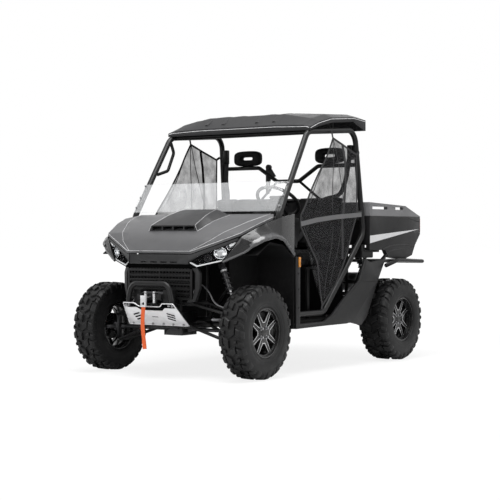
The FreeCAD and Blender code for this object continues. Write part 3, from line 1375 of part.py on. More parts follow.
def make_fenders():
    """Creased skin from the lamp over the wheel arch to the door."""
    rows = fender_rows()
    last = len(rows) - 1
    sections = [fender_section(row, rows[max(number - 1, 0)], rows[min(number + 1, last)])
                for number, row in enumerate(rows)]
    feature("front_fenders", both_sides(ruled(sections)))


def make_liners():
    """Wheelhouse liner: a sheet over and behind the wheel, with an inner wall."""
    wall = s.liner_wall
    under = [(s.liner_front_y, s.liner_front_z), (s.liner_crown_y, s.liner_crown_z),
             (s.liner_turn_y, s.liner_turn_z), (s.liner_rear_y, s.liner_low_z),
             (s.liner_rear_y, s.liner_foot_z)]
    over = [(s.liner_front_y - wall / 2, s.liner_front_z + wall),
            (s.liner_crown_y, s.liner_crown_z + wall * 1.1),
            (s.liner_turn_y + wall / 2, s.liner_turn_z + wall),
            (s.liner_rear_y + wall, s.liner_low_z + wall / 2),
            (s.liner_rear_y + wall, s.liner_foot_z)]
    outer = s.side_half_width - s.fender_wall * 1.5
    band = prism("x", under + over[::-1], s.liner_inner_x, outer)
    side = prism("x", under[1:] + [
        (s.liner_wall_front, s.liner_foot_z), (s.liner_wall_front, s.liner_wall_low),
        (s.liner_wall_front / 2, s.liner_wall_low),
        (s.liner_wall_front / 2, s.liner_front_z)], s.liner_inner_x, s.liner_inner_x + wall)
    feature("wheel_liners", both_sides(fused([band, side])))


def bevel(body, chosen, reach):
    """Cut a bevel along the edges of the body that pass a test."""
    doc.recompute()
    base = body.Tip
    names = [f"Edge{number}" for number, edge in enumerate(base.Shape.Edges, 1) if chosen(edge)]
    cut = body.newObject("PartDesign::Chamfer", f"{body.Name}_bevel")
    cut.Base = (base, names)
    bind(cut, Size=reach)
    body.Tip = cut
    return cut


def make_side_panels():
    """Front pillar, sill and rear quarter as one thick panel on each side."""
    body = new_body("side_panel_half")
    door = [
        (s.quarter_top_y, s.quarter_top_z), (s.seam_y, s.seam_z), (s.sill_rise_y, s.sill_rise_z),
        (s.sill_step_y, s.sill_step_z), (s.sill_rear_y, s.sill_top), (s.door_front_y, s.sill_top),
    ]
    outline = [
        (s.pillar_front_y, s.sill_bottom), (s.sill_turn_y, s.sill_turn_z),
        (s.sill_low_y, s.sill_low_z), (s.quarter_low_y, s.quarter_low_z),
        (s.quarter_rear_y, s.quarter_rear_z), (s.quarter_tip_y, s.quarter_tip_z),
        (s.quarter_end_y, s.quarter_end_z), (s.quarter_dip_y, s.quarter_dip_z),
    ] + door + [(s.door_front_y, pillar_top), (s.pillar_front_y, pillar_top)]
    outer = s.side_half_width
    pad(body, "YZ_Plane", panel_inner, outer, [outline])
    corners = [point(outer, y, z) for y, z in door]

    def on_door(edge):
        ends = [vertex.Point for vertex in edge.Vertexes]
        return all(min((end - corner).Length for corner in corners) < 1 for end in ends)

    bevel(body, on_door, s.panel_bevel)
    width = s.panel_seam_width
    pocket(body, "YZ_Plane", outer - s.panel_seam, outer + 1, [[
        (s.seam_y, s.seam_z - width), (s.seam_rear_y, s.seam_rear_z - width),
        (s.seam_rear_y, s.seam_rear_z), (s.seam_y, s.seam_z)]])
    pair("side_panels", body)


# Cab.
def roof_bars():
    """Length and height of the two cross bars under the roof."""
    return ((s.cage_top_front_y + s.cage_bend / 2, s.cage_top_front_z),
            (s.cage_top_rear_y - s.cage_bend / 2, s.cage_top_rear_z))


def cage_front(extra):
    """Front half of the left side hoop, grown by a clearance."""
    low = s.cage_half_width
    high = s.cage_top_half_width
    middle = (s.cage_front_y + s.cage_diagonal_y) / 2
    roof_y = (s.cage_top_front_y + s.cage_top_rear_y) / 2
    roof_z = (s.cage_top_front_z + s.cage_top_rear_z) / 2
    return tube([
        point(low, middle, s.cage_sill_z), point(low, s.cage_front_y, s.cage_sill_z),
        point(low, s.cage_front_y, s.cage_knee_z), point(low, s.cage_base_y, s.cage_base_z),
        point(high, s.cage_top_front_y, s.cage_top_front_z), point(high, roof_y, roof_z),
    ], s.cage_tube_radius + extra, s.cage_bend)


def make_cage():
    """Two closed side hoops with cross bars."""
    low = s.cage_half_width
    high = s.cage_top_half_width
    middle = (s.cage_front_y + s.cage_diagonal_y) / 2
    roof_y = (s.cage_top_front_y + s.cage_top_rear_y) / 2
    roof_z = (s.cage_top_front_z + s.cage_top_rear_z) / 2
    front = cage_front(size(0))
    rear = tube([
        point(low, middle, s.cage_sill_z), point(low, s.cage_diagonal_y, s.cage_sill_z),
        point(low, s.cage_waist_y, s.cage_waist_z),
        point(high, s.cage_top_rear_y, s.cage_top_rear_z), point(high, roof_y, roof_z),
    ], s.cage_tube_radius, s.cage_bend)
    bars = [rod(point(0, y, z), point(x, y, z), bar_radius) for x, y, z in (
        (high, *roof_bars()[0]), (high, *roof_bars()[1]), (low, s.cage_waist_y, waist_bar_z))] + [
        rod(point(0, s.cowl_bar_y, s.cowl_bar_z), point(low, s.cowl_bar_y, s.cowl_bar_z),
            s.frame_tube_radius),
    ]
    ears = []
    near = s.hinge_lug / 2 + s.fit_gap * 2
    for x in (s.hinge_x - near - s.hinge_ear, s.hinge_x + near):
        ears.append(slab((x, x + s.hinge_ear), (s.cowl_bar_y - s.hinge_barrel_radius, s.cowl_bar_y),
                         (s.cowl_bar_z, s.hood_hinge_z + s.hinge_barrel_radius / 2)))
    reach = point(near + s.hinge_ear, 0, 0)
    middle = point(s.hinge_x, s.hood_hinge_y, s.hood_hinge_z)
    pin = rod(middle - reach, middle + reach, s.hinge_pin_radius)
    half = [front, rear] + bars + ears + [pin]
    feature("roll_cage", fused(half + [mirrored(part) for part in half]))


def roof_rows():
    """Stations of the roof: length, lower edge, side, shoulder and top heights."""
    return [
        (s.roof_front_y, s.roof_front_low, s.roof_front_side, s.roof_front_shoulder,
         s.roof_front_top),
        (s.roof_brow_y, s.roof_brow_low, s.roof_brow_side, s.roof_brow_shoulder,
         s.roof_brow_top),
        (s.roof_rise_y, s.roof_rise_low, s.roof_rise_side, s.roof_rise_shoulder,
         s.roof_rise_top),
        (s.roof_back_y, s.roof_back_low, s.roof_back_side, s.roof_back_shoulder,
         s.roof_back_top),
        (s.roof_rear_y, s.roof_rear_low, s.roof_rear_side, s.roof_rear_shoulder,
         s.roof_rear_top),
    ]


def roof_section(row, wall, low_extra):
    """Corners of the roof's section at one station, drawn in by a wall."""
    y, low, side, shoulder, top = row
    half = s.roof_half_width - wall
    left = [(half, low - low_extra), (half, side - wall), (s.roof_shoulder - wall, shoulder - wall),
            (s.roof_ridge, top - wall)]
    return [point(x, y, z) for x, z in left + [(-x, z) for x, z in left[::-1]]]


def make_roof():
    """Moulded roof panel, hollow from below, with four pads that sit on the cross bars."""
    skin = ruled([roof_section(row, 0, 0) for row in roof_rows()])
    hollow = ruled([roof_section(row, s.roof_wall, 1) for row in roof_rows()])
    room = slab((-s.roof_half_width, s.roof_half_width),
                (s.roof_front_y + s.roof_wall, s.roof_rear_y - s.roof_wall),
                (s.cage_top_front_z, s.roof_back_top))
    notch = cage_front(s.fit_gap)
    shell = skin.cut(hollow.common(room)).cut(notch).cut(mirrored(notch))
    pads = []
    for y, z in roof_bars():
        under = z + bar_radius + s.fit_gap
        over = blend(roof_rows(), y)[2] - s.roof_wall / 2
        for sign in SIDES.values():
            low, high = sorted(((s.roof_pad_x - s.roof_pad_half) * sign,
                                (s.roof_pad_x + s.roof_pad_half) * sign), key=float)
            pads.append(slab((low, high), (y - s.roof_pad_half / 2, y + s.roof_pad_half / 2),
                             (under, over)))
    feature("roof", fused([shell] + pads))


def make_windshield():
    """Half screen on the front of the pillars."""
    slope = (s.cage_top_front_y - s.cage_base_y) / (s.cage_top_front_z - s.cage_base_z)
    stretch = math.hypot(1, slope.value)
    offset = (s.cage_tube_radius + s.fit_gap) * stretch
    rows = []
    for z, half in ((s.screen_bottom_z, s.screen_bottom_half), (s.screen_top_z, s.screen_top_half)):
        y = s.cage_base_y + slope * (z - s.cage_base_z) - offset
        rows.append([point(-half, y, z), point(half, y, z)])
    face = Part.Face(Part.makePolygon(rows[0] + rows[1][::-1] + rows[0][:1]))
    normal = face.normalAt(0, 0)
    outward = normal if normal.y < 0 else normal * -1
    feature("windshield", face.extrude(outward * s.screen_thickness.value))


def make_floor():
    """Floor pan and firewall in one moulded tub, with the column's hole."""
    body = new_body("floor_tub")
    top = floor_bottom + s.floor_thickness
    outline = [
        (s.firewall_y, floor_bottom), (s.seat_base_rear, floor_bottom),
        (s.seat_base_rear, top), (s.firewall_y + s.firewall_thickness, top),
        (s.firewall_y + s.firewall_thickness, s.firewall_top), (s.firewall_y, s.firewall_top),
    ]
    pad(body, "YZ_Plane", -s.floor_half_width, s.floor_half_width, [outline])
    tool = doc.addObject("Part::Feature", "column_hole")
    tool.Shape = column_clearance(s.hood_gap)
    cut = doc.addObject("Part::Cut", "cab_floor")
    cut.Base = body
    cut.Tool = tool
    node(cut, "cab_floor")


def dash_profile(wall):
    """Upper surface of the dashboard from its front lip to its foot, drawn in by a wall."""
    return [
        (s.dash_front + wall, s.dash_lip_z), (s.dash_front + wall, s.dash_lip_top - wall),
        (s.dash_crest_y, s.dash_top - wall), (s.dash_brow_y - wall, s.dash_brow_z - wall),
        (s.dash_rear - wall, s.dash_rear_z), (s.dash_foot_y - wall, s.dash_bottom),
    ]


def make_dashboard():
    """Bent sheet over the firewall, closed at both ends, with the column's hole."""
    outer = dash_profile(0)
    outline = outer + dash_profile(s.dash_wall)[::-1]
    half = s.dash_half
    shapes = [prism("x", outline, -half, half)]
    for sign in SIDES.values():
        low, high = sorted((half * sign, (half + s.dash_end) * sign), key=float)
        shapes.append(prism("x", outer, low, high))
    feature("dashboard", fused(shapes).cut(column_clearance(s.hood_gap)))


def make_seats():
    wall = s.seat_base_wall
    floor_top = floor_bottom + s.floor_thickness + s.fit_gap
    under = s.seat_base_top - wall
    parts = [
        slab((-s.seat_base_half, s.seat_base_half), (s.seat_base_front, s.seat_base_rear),
             (under, s.seat_base_top)),
        slab((-s.seat_base_half, s.seat_base_half), (s.seat_base_rear - wall, s.seat_base_rear),
             (floor_top, s.seat_base_top)),
    ]
    for x in (-s.seat_post_x, s.seat_post_x):
        parts.append(rod(point(x, s.seat_post_y, floor_top), point(x, s.seat_post_y, under + 1),
                         s.seat_post_radius))
    feature("seat_base", fused(parts))
    cushion = new_body("seat_cushion")
    half = s.cushion_half
    pad(cushion, "XZ_Plane", s.cushion_front, s.cushion_rear,
        [[(-half, s.seat_base_top + s.fit_gap), (half, s.seat_base_top + s.fit_gap),
          (half, s.cushion_top), (-half, s.cushion_top)]])
    soften(cushion, Vector(0, 1, 0), s.seat_base_wall * 2)
    node(cushion, "seat_cushion")
    back = new_body("seat_back")
    lean = s.seat_back_lean
    low = s.cushion_top + s.fit_gap
    outline = [
        (s.seat_back_y - s.seat_back_thickness, low), (s.seat_back_y, low),
        (s.seat_back_y + lean, s.seat_back_top),
        (s.seat_back_y + lean - s.seat_back_thickness, s.seat_back_top),
    ]
    pad(back, "YZ_Plane", -half, half, [outline])
    soften(back, Vector(1, 0, 0), s.seat_base_wall * 2)
    node(back, "seat_back")


def make_headrests():
    """Two headrests on the cross bar, each with its slot."""
    body = new_body("headrest_half")
    x = s.headrest_x
    half = s.headrest_half
    front = s.rest_bar_y - s.headrest_thickness / 2
    low = s.rest_bar_outer_z + s.rest_bar_radius + s.fit_gap
    high = low + s.headrest_height
    outline = [(x - half, low), (x + half, low), (x + half, high), (x - half, high)]
    pad(body, "XZ_Plane", front, front + s.headrest_thickness, [outline])
    soften(body, Vector(0, 1, 0), s.headrest_thickness / 2)
    middle = (low + high) / 2
    slot_half = s.headrest_slot_half
    rise = s.headrest_slot_height / 2
    pocket(body, "XZ_Plane", front - 1, front + s.headrest_thickness + 1,
           [[(x - slot_half, middle - rise), (x + slot_half, middle - rise),
             (x + slot_half, middle + rise), (x - slot_half, middle + rise)]])
    pair("headrests", body)
    y = s.rest_bar_y
    inner = s.rest_bar_knee
    share = (s.rest_bar_outer_z - s.cage_waist_z) / (s.cage_top_rear_z - s.cage_waist_z)
    pillar_x = s.cage_half_width + (s.cage_top_half_width - s.cage_half_width) * share
    ends = pillar_x - s.cage_tube_radius - s.fit_gap
    path = [point(-ends, y, s.rest_bar_outer_z), point(-inner, y, s.rest_bar_outer_z),
            point(-s.rest_bar_middle, y, s.rest_bar_inner_z),
            point(s.rest_bar_middle, y, s.rest_bar_inner_z),
            point(inner, y, s.rest_bar_outer_z), point(ends, y, s.rest_bar_outer_z)]
    foot = waist_bar_z + bar_radius + s.rest_brace_radius
    braces = [rod(point(s.rest_bar_middle * sign, y, s.rest_bar_inner_z),
                  point(s.rest_brace_x * sign, s.cage_waist_y, foot), s.rest_brace_radius)
              for sign in SIDES.values()]
    feature("headrest_bar", fused([tube(path, s.rest_bar_radius, s.cage_bend / 2)] + braces))


def make_nets():
    """Side nets as thin plain sheets on each door opening."""
    outline = [
        (s.net_top_y, s.net_top_z), (s.net_rear_y, s.net_rear_top_z),
        (s.net_rear_y, s.net_rear_mid_z), (s.net_hip_y, s.net_hip_z),
        (s.net_shin_y, s.net_shin_z), (s.net_foot_y, s.net_foot_z),
        (s.net_knee_y, s.net_knee_z), (s.net_front_y, s.net_front_low_z),
        (s.net_front_y, s.net_front_top_z), (s.net_brow_y, s.net_brow_z),
    ]
    x = s.net_half_width
    for side, sign in SIDES.items():
        low, high = sorted((x * sign, (x + s.net_thickness) * sign), key=float)
        feature(f"net_{side}", prism("x", outline, low, high))


def handle_shape():
    """Bent grab handle standing off the rear of the right front pillar."""
    x = -s.handle_x
    return tube([point(x, s.handle_low_y, s.handle_low_z),
                 point(x, s.handle_elbow_y, s.handle_elbow_z),
                 point(x, s.handle_knee_y, s.handle_knee_z),
                 point(x, s.handle_top_y, s.handle_top_z)], s.handle_radius, s.handle_bend)


def make_cab_fittings():
    rise = (s.belt_bottom + s.belt_height - s.cage_waist_z) / (s.cage_top_rear_z - s.cage_waist_z)
    lean = (s.cage_half_width - s.cage_top_half_width) * rise
    outer = s.cage_half_width - lean - s.cage_tube_radius - s.fit_gap
    front = s.net_rear_y + s.belt_gap
    belts = slab((outer - s.belt_depth, outer), (front, front + s.belt_width),
                 (s.belt_bottom, s.belt_bottom + s.belt_height))
    feature("belt_reels", both_sides(belts))
    feature("grab_handle", handle_shape())
    pedals = []
    for number in range(2):
        left = s.pedal_x - number * s.pedal_width * 2
        y = s.firewall_y + s.firewall_thickness
        pedals.append(slab((left, left + s.pedal_width), (y, y + s.pedal_thickness * 4),
                           (s.quarter_rear_z - s.pedal_height, s.quarter_rear_z)))
    feature("pedals", Part.Compound(pedals))
    marker = slab((s.side_half_width, s.side_half_width + s.marker_width),
                  (s.marker_y - s.marker_length / 2, s.marker_y + s.marker_length / 2),
                  (s.marker_bottom, pillar_top))
    feature("marker_lamps", both_sides(marker))


# Cargo bed with its tailgate and lamps, and the rear bumper.
def bed_side_outline():
    return [
        (s.bed_front, s.bed_side_front_z), (s.bed_side_front_y, s.bed_side_front_z),
        (s.bed_side_drop_y, s.bed_side_drop_z), (s.bed_side_low_y, s.bed_side_low_z),
        (s.bed_side_rise_y, s.bed_side_rise_z), (s.bed_side_rear_y, s.bed_side_rear_z),
        (s.bed_side_heel_y, s.bed_side_heel_z), (s.bed_rear, s.bed_tail_z),
        (s.bed_rear, s.bed_rear_top), (s.bed_shoulder_y, s.bed_shoulder_z),
        (s.bed_front, s.bed_front_top),
    ]


def gate_hinge(middle, y, front):
    """A left hinge of the tailgate: the bed's ears and pin, and the gate's barrel."""
    reach = s.gate_barrel_half
    ear = s.plate_thickness * 2
    z = s.gate_hinge_z
    radius = s.gate_hinge_radius
    inner = reach + s.fit_gap
    axis = [point(middle + along, y, z) for along in (-inner - ear, inner + ear)]
    fixed = [rod(*axis, s.gate_pin_radius)]
    for near in (-inner - ear, inner):
        fixed.append(slab((middle + near, middle + near + ear), (front - 1, y + radius - 1),
                          (s.bed_floor_bottom + s.plate_thickness, z)))
        fixed.append(rod(point(middle + near, y, z), point(middle + near + ear, y, z), radius - 1))
    barrel = rod(point(middle - reach, y, z), point(middle + reach, y, z), radius)
    web = slab((middle - reach, middle + reach), (y - radius, y + radius), (z, z + radius + 2))
    bore = rod(*axis, s.gate_pin_radius + s.fit_gap)
    return fixed, barrel.fuse(web).cut(bore)


def bed_fittings():
    """Left lug under the bed with its bore, and the rest that sits on the rail."""
    half = s.bed_lug_thickness / 2
    x = s.bed_rail_width
    y = s.bed_hinge_y
    z = s.bed_hinge_z
    lug = rod(point(x - half, y, z), point(x + half, y, z), s.bed_ear_radius)
    web = slab((x - half, x + half), (y - s.bed_ear_radius, y + s.bed_ear_radius),
               (z, s.bed_floor_bottom))
    hole = rod(point(x - half * 2, y, z), point(x + half * 2, y, z), s.bed_pin_radius + s.fit_gap)
    rest = slab((x - s.bed_rest_half, x + s.bed_rest_half),
                (s.bed_rest_front, s.bed_rest_front + s.bed_rest_length),
                (s.bed_rail_height + s.frame_tube_radius + s.fit_gap, s.bed_floor_bottom))
    return [lug.fuse(web).cut(hole), rest]


def make_bed():
    """Open cargo box with slotted side rails, its tailgate and its lamps."""
    outer = s.bed_half_width
    inner = outer - s.bed_wall
    floor_top = s.bed_floor_bottom + s.bed_floor_thickness
    slots = []
    for first, last in ((s.long_slot_front, s.long_slot_rear),
                        (s.short_slot_front, s.short_slot_rear)):
        slots.append(slab((inner - 1, outer + 1), (first, last),
                          (s.rail_slot_z, s.rail_slot_z + s.rail_slot_height)))
    side = prism("x", bed_side_outline(), inner, outer).cut(Part.Compound(slots))
    floor_end = s.bed_rear - s.gate_thickness - s.gate_sill_gap
    floor = slab((0, inner), (s.bed_front, floor_end), (s.bed_floor_bottom, floor_top))
    front = slab((0, inner), (s.bed_front, s.bed_front + s.bed_wall), (floor_top, s.bed_front_top))
    left = [side, floor, front] + bed_fittings()
    barrels = []
    for middle in (s.gate_hinge_inner, s.gate_hinge_outer):
        fixed, barrel = gate_hinge(middle, s.bed_rear - s.gate_thickness / 2, floor_end)
        left += fixed
        barrels.append(barrel)
    whole_width("cargo_bed", left)
    inner_gap = inner - s.gate_gap
    gate = slab((0, inner_gap), (s.bed_rear - s.gate_thickness, s.bed_rear),
                (s.gate_hinge_z + s.gate_hinge_radius, s.gate_top))
    whole_width("tailgate", [gate] + barrels)
    lamp = slab((inner + 2, outer - 2), (s.bed_rear, s.bed_rear + s.tail_lamp_depth),
                (s.tail_lamp_z, s.tail_lamp_z + s.tail_lamp_height))
    feature("tail_lamps", both_sides(lamp))


def make_bumper():
    """Rear bar that runs forward over both wheels, with two arms to the frame's posts."""
    half = s.bumper_half_width
    left = [point(half, s.bumper_base_y, s.bumper_base_z),
            point(half, s.bumper_side_y, s.bumper_side_z), point(half, s.bumper_y, s.bumper_z)]
    right = [point(-corner.x, corner.y, corner.z) for corner in left[::-1]]
    shapes = [tube(left + right, s.bumper_radius, s.bumper_bend)]
    foot = s.post_rear + s.frame_tube_radius + s.bumper_arm_radius / 2
    for sign in SIDES.values():
        x = s.bumper_arm_x * sign
        shapes.append(tube([point(x, s.bumper_y, s.bumper_z),
                            point(x, s.bumper_y - s.bumper_arm_length, s.bumper_z),
                            point(s.bumper_foot_x * sign, foot, s.bumper_foot_z)],
                           s.bumper_arm_radius, s.bumper_bend))
    feature("rear_bumper", fused(shapes))


def build():
    make_wheels()
    make_knuckles()
    for end, axle_y, foot in (("front", size(0), s.front_shock_foot),
                              ("rear", s.wheelbase, s.rear_shock_foot)):
        make_arms(f"{end}_arms", axle_y, foot)
        make_shocks(f"{end}_shocks", axle_y, foot)
    make_drives()
    make_engine()
    make_muffler()
    make_frame()
    make_steering()
    make_steering_wheel()
    make_hood()
    make_scoop()
    make_fascia()
    make_grille()
    make_headlamps()
    make_skid_plate()
    make_bull_bar()
    make_winch()
    make_fenders()
    make_liners()
    make_side_panels()
    make_cage()
    make_roof()
    make_windshield()
    make_floor()
    make_dashboard()
    make_seats()
    make_headrests()
    make_nets()
    make_cab_fittings()
    make_bed()
    make_bumper()


def check():
    """Stop if any object failed or any sub-part has no sound shape."""
    for item in doc.Objects:
        if "Invalid" in item.State or "Error" in item.State:
            raise RuntimeError(f"{item.Name} failed: {item.State}")
    for item in nodes:
        if item.Shape.isNull() or not item.Shape.isValid():
            raise RuntimeError(f"{item.Label} has no valid shape")


def write():
    os.makedirs("parts", exist_ok=True)
    for item in nodes:
        item.Shape.exportStep(f"parts/{item.Label}.step")


build()
doc.recompute()
check()
write()
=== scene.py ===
"""Looks of a two-seat side by side utility vehicle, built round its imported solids."""

import json
import logging
import math
from collections.abc import Callable
from dataclasses import dataclass
from enum import Enum

import bmesh
import bpy
from bpy.types import ID, Material, Mesh, Node, NodeSocket, Object
from mathutils import Matrix, Vector, noise

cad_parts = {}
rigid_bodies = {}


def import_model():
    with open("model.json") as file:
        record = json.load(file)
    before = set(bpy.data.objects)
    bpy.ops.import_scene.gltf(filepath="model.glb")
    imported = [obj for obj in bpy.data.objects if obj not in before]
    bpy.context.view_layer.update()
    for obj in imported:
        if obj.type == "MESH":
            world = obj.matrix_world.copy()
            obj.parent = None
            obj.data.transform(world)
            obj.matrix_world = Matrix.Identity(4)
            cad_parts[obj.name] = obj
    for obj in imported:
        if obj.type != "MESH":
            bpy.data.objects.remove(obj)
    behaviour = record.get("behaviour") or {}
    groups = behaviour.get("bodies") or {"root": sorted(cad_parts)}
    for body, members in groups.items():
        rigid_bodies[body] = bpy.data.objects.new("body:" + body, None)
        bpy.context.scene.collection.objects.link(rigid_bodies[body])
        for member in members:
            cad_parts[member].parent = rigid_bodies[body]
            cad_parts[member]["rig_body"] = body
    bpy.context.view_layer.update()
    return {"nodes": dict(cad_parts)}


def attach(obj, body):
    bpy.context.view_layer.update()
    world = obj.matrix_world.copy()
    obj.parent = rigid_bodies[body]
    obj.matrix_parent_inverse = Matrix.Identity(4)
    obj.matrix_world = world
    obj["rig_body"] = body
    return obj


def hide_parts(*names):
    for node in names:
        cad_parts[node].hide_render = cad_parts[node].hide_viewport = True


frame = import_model()

log = logging.getLogger("utility_vehicle")

AXLE_SHIFT = -1.045
WHEELBASE = 2.020
HALF_TRACK = 0.685
TYRE_RADIUS = 0.343
SIDES = {"left": 1, "right": -1}

DUST_COLOUR = (0.16, 0.155, 0.145)
MERGE_REACH = 1e-6
WELD_REACH = 2e-5
FLAT_ANGLE = math.radians(0.6)
SOFT_ANGLE = math.radians(24)
FOLD_ANGLES = (0.1, 1.2)
SHORTEST_FOLD = 0.03
CLOTH_QUALITY = 3
CLOTH_PRESSURE = 4.0
CLOTH_FRAMES = 20


def at(x: float, y: float, z: float) -> Vector:
    """A point in metres, with its length counted from the front axle."""
    return Vector((x, y + AXLE_SHIFT, z))


def placed(name: str, data: ID) -> Object:
    """A new object in the scene.

    Args:
        name: the object's name.
        data: its mesh, camera or lamp.

    Returns:
        The object.
    """
    made = bpy.data.objects.new(name, data)
    bpy.context.scene.collection.objects.link(made)
    return made


def aimed(piece: Object, way: Vector) -> None:
    """Turn a camera or a lamp to look along a direction."""
    piece.rotation_mode = "QUATERNION"
    piece.rotation_quaternion = way.to_track_quat("-Z", "Y")


def toned(colour: tuple, share: float) -> tuple:
    """The colour made darker or lighter, at most to full strength."""
    return tuple(min(1.0, part * share) for part in colour)


class Sock:
    """An output socket, with the operators that shader maths needs."""

    def __init__(self, graph: "Graph", value: NodeSocket) -> None:
        """Hold a socket of a graph's node."""
        self.graph = graph
        self.value = value

    def maths(self, operation: str, other: "Sock | float") -> "Sock":
        """Add one Math node, whose second operand is a number or another socket."""
        return self.graph.add("ShaderNodeMath", {"operation": operation}, [self, other])

    def __add__(self, other: "Sock | float") -> "Sock":
        """Sum."""
        return self.maths("ADD", other)

    __radd__ = __add__

    def __sub__(self, other: "Sock | float") -> "Sock":
        """Difference."""
        return self.maths("SUBTRACT", other)

    def __rsub__(self, other: float) -> "Sock":
        """Difference from a number."""
        return self.graph.add("ShaderNodeMath", {"operation": "SUBTRACT"}, [other, self])

    def __mul__(self, other: "Sock | float") -> "Sock":
        """Product."""
        return self.maths("MULTIPLY", other)

    __rmul__ = __mul__

    def highest(self, other: "Sock | float") -> "Sock":
        """The larger of two values."""
        return self.maths("MAXIMUM", other)

    def wave(self) -> "Sock":
        """Sine of the value, brought between nought and one."""
        return self.maths("SINE", 0.0) * 0.5 + 0.5


class Graph:
    """The node tree of one material, new or given."""

    def __init__(self, name: str, material: Material | None = None) -> None:
        """Open the material's nodes.

        Args:
            name: a name for a new material.
            material: the one to work on, or none.
        """
        self.material = material or bpy.data.materials.new(name)
        self.material.use_nodes = True
        self.tree = self.material.node_tree
        self.surface = self.tree.nodes["Principled BSDF"]

    def add(self, kind: str, settings: dict, inputs: dict | list | tuple = (),
            output: int | str = 0) -> Sock:
        """Add a node.

        Args:
            kind: the node's type.
            settings: properties that are set first.
            inputs: values or sockets, as a list in order or a dict by name.
            output: which output to return, by number or name.

        Returns:
            That output as a Sock.
        """
        node = self.tree.nodes.new(kind)
        for name, value in settings.items():
            setattr(node, name, value)
        pairs = inputs.items() if isinstance(inputs, dict) else enumerate(inputs)
        for name, value in pairs:
            self.set(node.inputs[name], value)
        return Sock(self, node.outputs[output])

    def set(self, socket: NodeSocket, value: Sock | tuple | float) -> None:
        """Link a socket, or give it a number or colour.

        Args:
            socket: an input of a node.
            value: what it takes.
        """
        value = value.value if isinstance(value, Sock) else value
        if isinstance(value, NodeSocket):
            self.tree.links.new(value, socket)
        elif isinstance(value, tuple) and len(value) == 3 and socket.type == "RGBA":
            socket.default_value = (*value, 1)
        else:
            socket.default_value = value

    def shade(self, **sockets: Sock | tuple | float) -> None:
        """Set the surface shader's sockets, named with underscores."""
        for name, value in sockets.items():
            self.set(self.surface.inputs[name.replace("_", " ")], value)

    def place(self) -> Sock:
        """Object coordinates."""
        return self.add("ShaderNodeTexCoord", {}, (), "Object")

    def axes(self) -> list[Sock]:
        """The three object coordinates apart."""
        parts = self.add("ShaderNodeSeparateXYZ", {}, [self.place()])
        return [Sock(self, socket) for socket in parts.value.node.outputs]

    def cloud(self, size: float, detail: float = 3.0, rough: float = 0.55) -> Sock:
        """Noise whose lumps are about a size across, in metres."""
        return self.add("ShaderNodeTexNoise", {}, {
            "Vector": self.place(), "Scale": 1 / size, "Detail": detail, "Roughness": rough})

    def streaks(self, scale: tuple, detail: float) -> Sock:
        """Noise drawn out by a scale along each axis.

        Args:
            scale: along each axis.
            detail: layers of the noise.

        Returns:
            The noise.
        """
        stretched = self.add("ShaderNodeMapping", {}, {"Vector": self.place(), "Scale": scale})
        return self.add("ShaderNodeTexNoise", {}, {
            "Vector": stretched, "Scale": 1.0, "Detail": detail})

    def step(self, value: Sock, low: float, high: float, floor: float = 0.0,
             roof: float = 1.0) -> Sock:
        """Map a range of a value to another, held at both ends."""
        return self.add("ShaderNodeMapRange", {"clamp": True}, {
            "Value": value, "From Min": low, "From Max": high, "To Min": floor, "To Max": roof})

    def mix(self, share: Sock, first: Sock | tuple, second: Sock | tuple) -> Sock:
        """Blend two colours.

        Args:
            share: how much of the second.
            first: one colour.
            second: the other.

        Returns:
            The blend.
        """
        node = self.tree.nodes.new("ShaderNodeMix")
        node.data_type = "RGBA"
        for socket, value in ((node.inputs[0], share), (node.inputs[6], first),
                              (node.inputs[7], second)):
            self.set(socket, value)
        return Sock(self, node.outputs[2])

    def bump(self, height: Sock, depth: float) -> Sock:
        """A Bump node for a height field of a depth in metres."""
        return self.add("ShaderNodeBump", {}, {
            "Height": height, "Distance": depth, "Strength": 1.0}, "Normal")


@dataclass(frozen=True)
class Moulded:
    """Grained plastic or paint with mottling, road dust low down and a few scuffs."""

    name: str
    colour: tuple
    rough: float = 0.5
    metallic: float = 0.0
    grain: float = 0.0016
    grain_depth: float = 0.00018
    mottle: float = 0.12
    dust: float = 0.10
    coat: float = 0.0
    gleam: float = 0.5

    def material(self) -> Material:
        """Build the finish's nodes.

        Returns:
            The material.
        """
        graph = Graph(self.name)
        cloudy = graph.cloud(0.09)
        speck = graph.cloud(self.grain, 2.0)
        light = toned(self.colour, 1 + self.mottle)
        tone = graph.mix(graph.step(cloudy, 0.35, 0.65), toned(self.colour, 1 - self.mottle),
                         light)
        low = graph.step(graph.axes()[2], 1.0, 0.2)
        dusty = low * graph.step(graph.cloud(0.03, 5.0), 0.45, 0.75) * self.dust
        tone = graph.mix(dusty, tone, DUST_COLOUR)
        scuffed = graph.step(graph.streaks((260.0, 22.0, 260.0), 4.0), 0.68, 0.74)
        rough = graph.step(cloudy, 0.3, 0.7, self.rough - 0.05, self.rough + 0.05)
        graph.shade(Base_Color=graph.mix(scuffed * 0.25, tone, light),
                    Roughness=rough + scuffed * 0.08, Metallic=self.metallic,
                    Coat_Weight=self.coat, Coat_Roughness=0.12, Specular_IOR_Level=self.gleam,
                    Normal=graph.bump(speck + scuffed * 0.2, self.grain_depth))
        return graph.material


@dataclass(frozen=True)
class BedPlastic(Moulded):
    """Moulded plastic whose upper band is a lighter tone, as the cargo sides have."""

    band_height: float = 1.205
    band_edge: float = 0.004
    band_colour: tuple = (0.16, 0.16, 0.164)

    def material(self) -> Material:
        """Build the plain finish and lighten its upper band.

        Returns:
            The material.
        """
        graph = Graph(self.name, Moulded.material(self))
        base = graph.surface.inputs["Base Color"]
        plain = base.links[0].from_socket
        upper = graph.step(graph.axes()[2], self.band_height, self.band_height + self.band_edge)
        graph.set(base, graph.mix(upper, plain, self.band_colour))
        return graph.material


